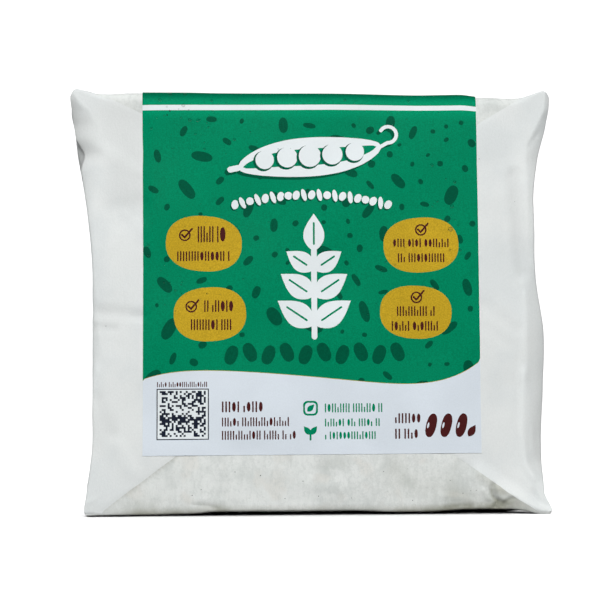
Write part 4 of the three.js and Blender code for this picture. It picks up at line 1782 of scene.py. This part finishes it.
@dataclass
class Condensation:
    """Drops of water on the label's front, scattered by a geometry node tree."""

    label: PrintedLabel
    finish: Material
    density: float = 0.12  # drops on a square millimetre of full mist
    smallest: float = 0.12
    largest: float = 0.34
    flatness: float = 0.7
    rarity: float = 2.6  # above 1, large drops are rarer than small ones
    seed: int = 23
    mists: tuple[Mist, ...] = (
        Mist((-33.0, 103.0), (14.0, 7.0), 0.8),
        Mist((-38.0, 62.0), (8.0, 9.0), 0.6),
        Mist((-28.0, 62.0), (14.0, 4.0), 0.7),
        Mist((-31.0, 78.0), (12.0, 5.0), 0.4),
        Mist((34.0, 82.0), (9.0, 10.0), 0.35),
        Mist((30.0, 104.0), (14.0, 5.0), 0.3),
        Mist((18.0, 70.0), (5.0, 14.0), 0.2),
    )
    main_drops: tuple[Point3, ...] = (
        # across, up and size
        (-38.5, 111.6, 0.42), (-34.6, 111.7, 0.42), (-41.2, 109.7, 0.46), (-35.0, 108.3, 0.42),
        (-33.3, 104.4, 0.44), (-31.2, 104.3, 0.44), (-27.5, 109.6, 0.36), (-21.5, 99.2, 0.4),
        (-44.2, 71.2, 0.42), (35.7, 75.4, 0.6), (31.0, 92.5, 0.42), (36.2, 81.5, 0.5),
        (37.0, 88.0, 0.42), (38.2, 69.9, 0.4), (8.0, 109.9, 0.36), (25.0, 110.0, 0.36),
    )

    def patch(self) -> Object:
        """Makes a plain mesh over the label's front that carries the mist and the places of the main drops.

        Returns:
            The mesh's object, which only lasts until the drops are made.
        """
        art = self.label.print
        xs, ys = steps(art.left + 0.5, art.right - 0.5, 60), steps(art.foot + 1.0, art.fold - 0.5, 64)
        grid = np.stack(np.meshgrid(xs, ys), -1).reshape(-1, 2)
        chosen, bare = np.array(self.main_drops), np.zeros(len(grid))
        flat = np.concatenate([grid, chosen[:, :2]])
        mist = np.zeros(len(flat))
        for cloud in self.mists:
            mist[: len(grid)] += cloud.strength * np.exp(-(((grid - cloud.centre) / cloud.size) ** 2).sum(1))
        values = {"mist": mist, "drop_size": np.concatenate([bare, chosen[:, 2]]) * METRES}
        points, outward = self.label.form.surface(self.label.on_box(flat))
        points = points + outward * self.label.rise(flat)[:, None]
        holder = build_object("drop_patch", Surface(points, grid_faces(len(ys), len(xs))), [], values)
        lie = holder.data.attributes.new("lie", "FLOAT_VECTOR", "POINT")
        lie.data.foreach_set("vector", outward.astype(np.float32).ravel())
        return holder

    def tree(self) -> NodeTree:
        """Builds the node tree that scatters the drops.

        Returns:
            The tree.
        """
        tree = bpy.data.node_groups.new("condensation", "GeometryNodeTree")
        floats = [(name, "INPUT", "Float") for name in ("Density", "Smallest", "Largest", "Flatness")]
        for name, way, kind in (
            ("Patch", "INPUT", "Geometry"), *floats, ("Seed", "INPUT", "Int"), ("Water", "INPUT", "Material"),
            ("Drops", "OUTPUT", "Geometry"),
        ):
            tree.interface.new_socket(name=name, in_out=way, socket_type=f"NodeSocket{kind}")
        add = partial(add_node, tree)
        given = add("NodeGroupInput").outputs
        mist, wanted, lie = (
            add("GeometryNodeInputNamedAttribute", {"Name": name}, data_type=kind).outputs["Attribute"]
            for name, kind in (("mist", "FLOAT"), ("drop_size", "FLOAT"), ("lie", "FLOAT_VECTOR"))
        )
        per_area = add("ShaderNodeMath", {0: mist, 1: given["Density"]}, operation="MULTIPLY").outputs[0]
        inputs = {"Mesh": given["Patch"], "Density": per_area, "Seed": given["Seed"]}
        scattered = add("GeometryNodeDistributePointsOnFaces", inputs, distribute_method="RANDOM")
        draw = add("FunctionNodeRandomValue", {"Seed": given["Seed"]}, data_type="FLOAT").outputs[1]
        small = add("ShaderNodeMath", {0: draw, 1: self.rarity}, operation="POWER").outputs[0]
        inputs = {"Value": small, "To Min": given["Smallest"], "To Max": given["Largest"]}
        span = add("ShaderNodeMapRange", inputs).outputs["Result"]
        more = {"data_type": "FLOAT", "operation": "GREATER_THAN"}
        is_chosen = add("FunctionNodeCompare", {0: wanted, 1: 0.0}, **more).outputs[0]
        chosen = add("GeometryNodeMeshToPoints", {"Mesh": given["Patch"], "Selection": is_chosen})
        flat = add("ShaderNodeCombineXYZ", {"X": 1.0, "Y": 1.0, "Z": given["Flatness"]}).outputs[0]
        ball = add("GeometryNodeMeshIcoSphere", {"Radius": 1.0, "Subdivisions": 3}).outputs["Mesh"]
        dome = add("GeometryNodeTransform", {"Geometry": ball, "Scale": flat}).outputs["Geometry"]
        turn = add("FunctionNodeAlignRotationToVector", {"Vector": lie}, axis="Z").outputs["Rotation"]
        joined = add("GeometryNodeJoinGeometry")
        for points, size in ((scattered.outputs["Points"], span), (chosen.outputs[0], wanted)):
            inputs = {"Points": points, "Instance": dome, "Rotation": turn, "Scale": size}
            tree.links.new(add("GeometryNodeInstanceOnPoints", inputs).outputs[0], joined.inputs[0])
        real = add("GeometryNodeRealizeInstances", {"Geometry": joined.outputs[0]}).outputs[0]
        rounded = add("GeometryNodeSetShadeSmooth", {"Geometry": real}).outputs[0]
        dressed = add("GeometryNodeSetMaterial", {"Geometry": rounded, "Material": given["Water"]}).outputs[0]
        add("NodeGroupOutput", {"Drops": dressed})
        return tree

    def build(self) -> Object:
        """Scatters the drops and makes them a plain mesh.

        Returns:
            The drops' object.
        """
        holder = self.patch()
        modifier = holder.modifiers.new("condensation", "NODES")
        modifier.node_group = self.tree()
        values = {
            "Density": self.density / METRES**2,
            "Smallest": self.smallest * METRES,
            "Largest": self.largest * METRES,
            "Flatness": self.flatness,
            "Seed": self.seed,
            "Water": self.finish,
        }
        for item in modifier.node_group.interface.items_tree:
            if item.name in values:
                modifier[item.identifier] = values[item.name]
        finished = holder.evaluated_get(bpy.context.evaluated_depsgraph_get())
        mesh = bpy.data.meshes.new_from_object(finished)
        bpy.data.objects.remove(holder)
        mesh.name = "condensation"
        return new_object("condensation", mesh)


@dataclass
class BranFlecks:
    """Small flecks of bean skin on the paper and the label."""

    form: PackForm
    finish: Material
    seed: int = 3
    count: int = 16
    sides: int = 6
    chosen: tuple[tuple[float, float, float, float], ...] = (
        # across, up, size and height above the paper
        (-38.4, 106.8, 0.26, 0.27), (-39.1, 105.7, 0.2, 0.27), (-59.0, 110.0, 0.14, 0.1),
        (-55.2, 50.0, 0.12, 0.1), (43.6, 94.2, 0.12, 0.1), (53.4, 82.8, 0.11, 0.1),
    )

    def places(self) -> Iterable[tuple[float, float, float, float]]:
        """Lists the chosen flecks, then scattered ones on the lower band.

        Returns:
            For each its place across and up, its size and its height above the paper.
        """
        yield from self.chosen
        rng = np.random.default_rng(self.seed)
        for _ in range(self.count):
            yield rng.uniform(-40.0, 44.0), rng.uniform(3.0, 13.5), rng.uniform(0.07, 0.17), 0.0

    def build(self) -> Object:
        """Makes all flecks as one mesh of flat lumps.

        Returns:
            The flecks' object.
        """
        rng = np.random.default_rng(self.seed + 1)
        half, sides = self.form.half, self.sides
        points: list[Array] = []
        faces: Faces = []
        for x, up, size, rise in self.places():
            angles = np.linspace(0.0, FULL_TURN, sides, endpoint=False) + rng.uniform(0.0, 1.0)
            radii = size * rng.uniform(0.6, 1.2, sides)
            across, height = (np.append(radii * part(angles), [0.0, 0.0]) for part in (np.cos, np.sin))
            box = np.stack([x + across, np.full(sides + 2, -half[1]), up + height - half[2]], -1)
            first = len(points) * (sides + 2)
            points.append(self.form.place(box, [rise + 0.01] * sides + [rise + size * 0.5, rise - 0.05]))
            for i in range(sides):
                a, b = first + i, first + (i + 1) % sides
                faces += [(a, b, first + sides), (b, a, first + sides + 1)]
        return build_object("bran_flecks", Surface(np.concatenate(points), faces), [self.finish])


# ---- The studio ----


@dataclass(frozen=True)
class SoftBox:
    """A rectangular studio light, in metres and watts."""

    name: str
    place: Point3
    aim: Point3
    size: Point2
    power: float


@dataclass
class Studio:
    """A white table and backdrop, soft lights and the camera, in metres."""

    target: Point3 = (0.0, 0.0, 0.05564)
    distance: float = 0.6
    azimuth: float = -3.5
    elevation: float = -3.0
    roll: float = -0.32
    lens: float = 133.8
    shift: Point2 = (-0.0223, 0.0095)
    floor_size: float = 1.3
    floor_colour: Colour = (0.95, 0.95, 0.95)
    ambient: float = 0.24
    below: float = 0.0
    seen_white: float = 1.2  # strength of the white that the camera sees behind the table
    lights: tuple[SoftBox, ...] = (
        SoftBox("key", (-0.05, -1.05, 0.56), (0.0, 0.0, 0.055), (0.6, 0.45), 12.9),
        SoftBox("left_fill", (-0.95, -0.75, 0.3), (0.0, 0.0, 0.055), (0.5, 0.5), 0.7),
        SoftBox("right_fill", (0.95, -0.75, 0.3), (0.0, 0.0, 0.055), (0.5, 0.5), 0.55),
        SoftBox("back_fill", (0.0, 1.2, 0.5), (0.0, 0.0, 0.055), (1.2, 0.8), 9.0),
    )
    table_lights: tuple[SoftBox, ...] = (
        SoftBox("table_front", (0.0, -1.3, 0.5), (0.0, 0.0, 0.0), (1.4, 0.8), 28.0),
        SoftBox("table_top", (0.0, 0.3, 1.2), (0.0, 0.15, 0.0), (1.8, 0.6), 22.0),
    )

    def floor(self) -> Object:
        """Lays the table top.

        Returns:
            The table's object.
        """
        half = self.floor_size / 2.0 / METRES
        corners = np.array([(-half, -half, 0.0), (half, -half, 0.0), (half, half, 0.0), (-half, half, 0.0)])
        shader = Shader("table_white")
        colour = shader.varied(self.floor_colour, shader.noise(30.0, 2.0), 0.995, 1.005)
        finish = shader.finish({"Base Color": colour, "Roughness": 0.9, "Specular IOR Level": 0.0})
        table = build_object("table_top", Surface(corners, [(0, 1, 2, 3)]), [finish])
        table.visible_diffuse = False
        return table

    def light(self, box: SoftBox, table: Object, on_table: bool) -> None:
        """Hangs one soft box that lights either the table or all the rest.

        Args:
            box: The light's sizes.
            table: The table top.
            on_table: Whether it lights the table and nothing else.
        """
        data = bpy.data.lights.new(box.name, "AREA")
        data.shape = "RECTANGLE"
        data.size, data.size_y = box.size
        data.energy = box.power
        lamp = new_object(box.name, data)
        lamp.location = box.place
        lamp.rotation_euler = (Vector(box.aim) - Vector(box.place)).to_track_quat("-Z", "Y").to_euler()
        reached = bpy.data.collections.new(f"{box.name}_reach")
        reached.objects.link(table)
        if not on_table:
            reached.collection_objects[0].light_linking.link_state = "EXCLUDE"
        lamp.light_linking.receiver_collection = reached

    def backdrop(self) -> None:
        """Sets a dim even surround that looks white."""
        world = bpy.data.worlds.new("white_studio")
        world.use_nodes = True
        world.node_tree.nodes.clear()
        add = partial(add_node, world.node_tree)
        way = add("ShaderNodeTexCoord").outputs["Generated"]
        height = add("ShaderNodeSeparateXYZ", {"Vector": way}).outputs["Z"]
        limits = {"From Min": -0.05, "From Max": 0.35, "To Min": self.below, "To Max": self.ambient}
        ambient = add("ShaderNodeMapRange", {"Value": height, **limits}).outputs["Result"]
        dim, white = (
            add("ShaderNodeBackground", {"Color": (1.0, 1.0, 1.0, 1.0), "Strength": strength}).outputs[0]
            for strength in (ambient, self.seen_white)
        )
        seen = add("ShaderNodeLightPath").outputs["Is Camera Ray"]
        mix = add("ShaderNodeMixShader", {"Fac": seen, 1: dim, 2: white}).outputs[0]
        add("ShaderNodeOutputWorld", {"Surface": mix})
        bpy.context.scene.world = world

    def camera(self) -> None:
        """Places the camera low in front of the pack, a little to its left."""
        across, up = math.radians(self.azimuth), math.radians(self.elevation)
        back = Vector((math.sin(across) * math.cos(up), -math.cos(across) * math.cos(up), math.sin(up)))
        data = bpy.data.cameras.new("camera")
        data.lens, data.sensor_width = self.lens, 36.0
        data.shift_x, data.shift_y = self.shift
        data.clip_start, data.clip_end = 0.01, 20.0
        made = new_object("camera", data)
        roll = Matrix.Rotation(math.radians(self.roll), 4, "Z")
        turn = (-back).to_track_quat("-Z", "Y").to_matrix().to_4x4() @ roll
        made.matrix_world = Matrix.Translation(Vector(self.target) + back * self.distance) @ turn
        bpy.context.scene.camera = made

    def build(self) -> None:
        """Sets up the studio."""
        self.camera()
        table = self.floor()
        self.backdrop()
        for box in self.lights + self.table_lights:
            self.light(box, table, box in self.table_lights)
        bpy.context.scene.view_settings.view_transform = "Standard"


# ---- Assembly ----


def report(piece: Object) -> None:
    """Logs a piece's name, triangles and size.

    Args:
        piece: The finished piece.
    """
    triangles = sum(len(polygon.vertices) - 2 for polygon in piece.data.polygons)
    size = " x ".join(f"{length / METRES:.1f}" for length in piece.dimensions)
    LOG.info("%s: %d triangles, %s mm", piece.name, triangles, size)


def main() -> None:
    """Builds the studio and the pack, piece by piece."""
    logging.basicConfig(level=logging.INFO, format="%(name)s: %(message)s")
    Studio().build()
    form = PackForm()
    paper = PaperFinish().material()
    label = PrintedLabel(form, Print(), [INKS[ink].material() for ink in Ink])
    builders: list[tuple[Callable[[], Object], str, tuple[str, ...]]] = [
        (PaperWrap(form, paper).build, "wrapping_paper", ("wrapped_cake",)),
        (SideFlap(form, paper, "flap_left", -1, LEFT_FLAP).build, "wrapping_paper", ("wrapped_cake",)),
        (SideFlap(form, paper, "flap_right", 1, RIGHT_FLAP).build, "wrapping_paper", ("wrapped_cake",)),
        (BackOverlap(form, paper).build, "wrapping_paper", ("wrapped_cake",)),
        (label.build, "printed_label", ("label",)),
        (Condensation(label, WaterFinish().material()).build, "printed_label", ()),
        (BranFlecks(form, BranFinish().material()).build, "wrapping_paper", ()),
    ]
    for build, slot, nodes in builders:
        report(attach(build(), slot, *nodes))


if __name__ == "__main__":
    main()
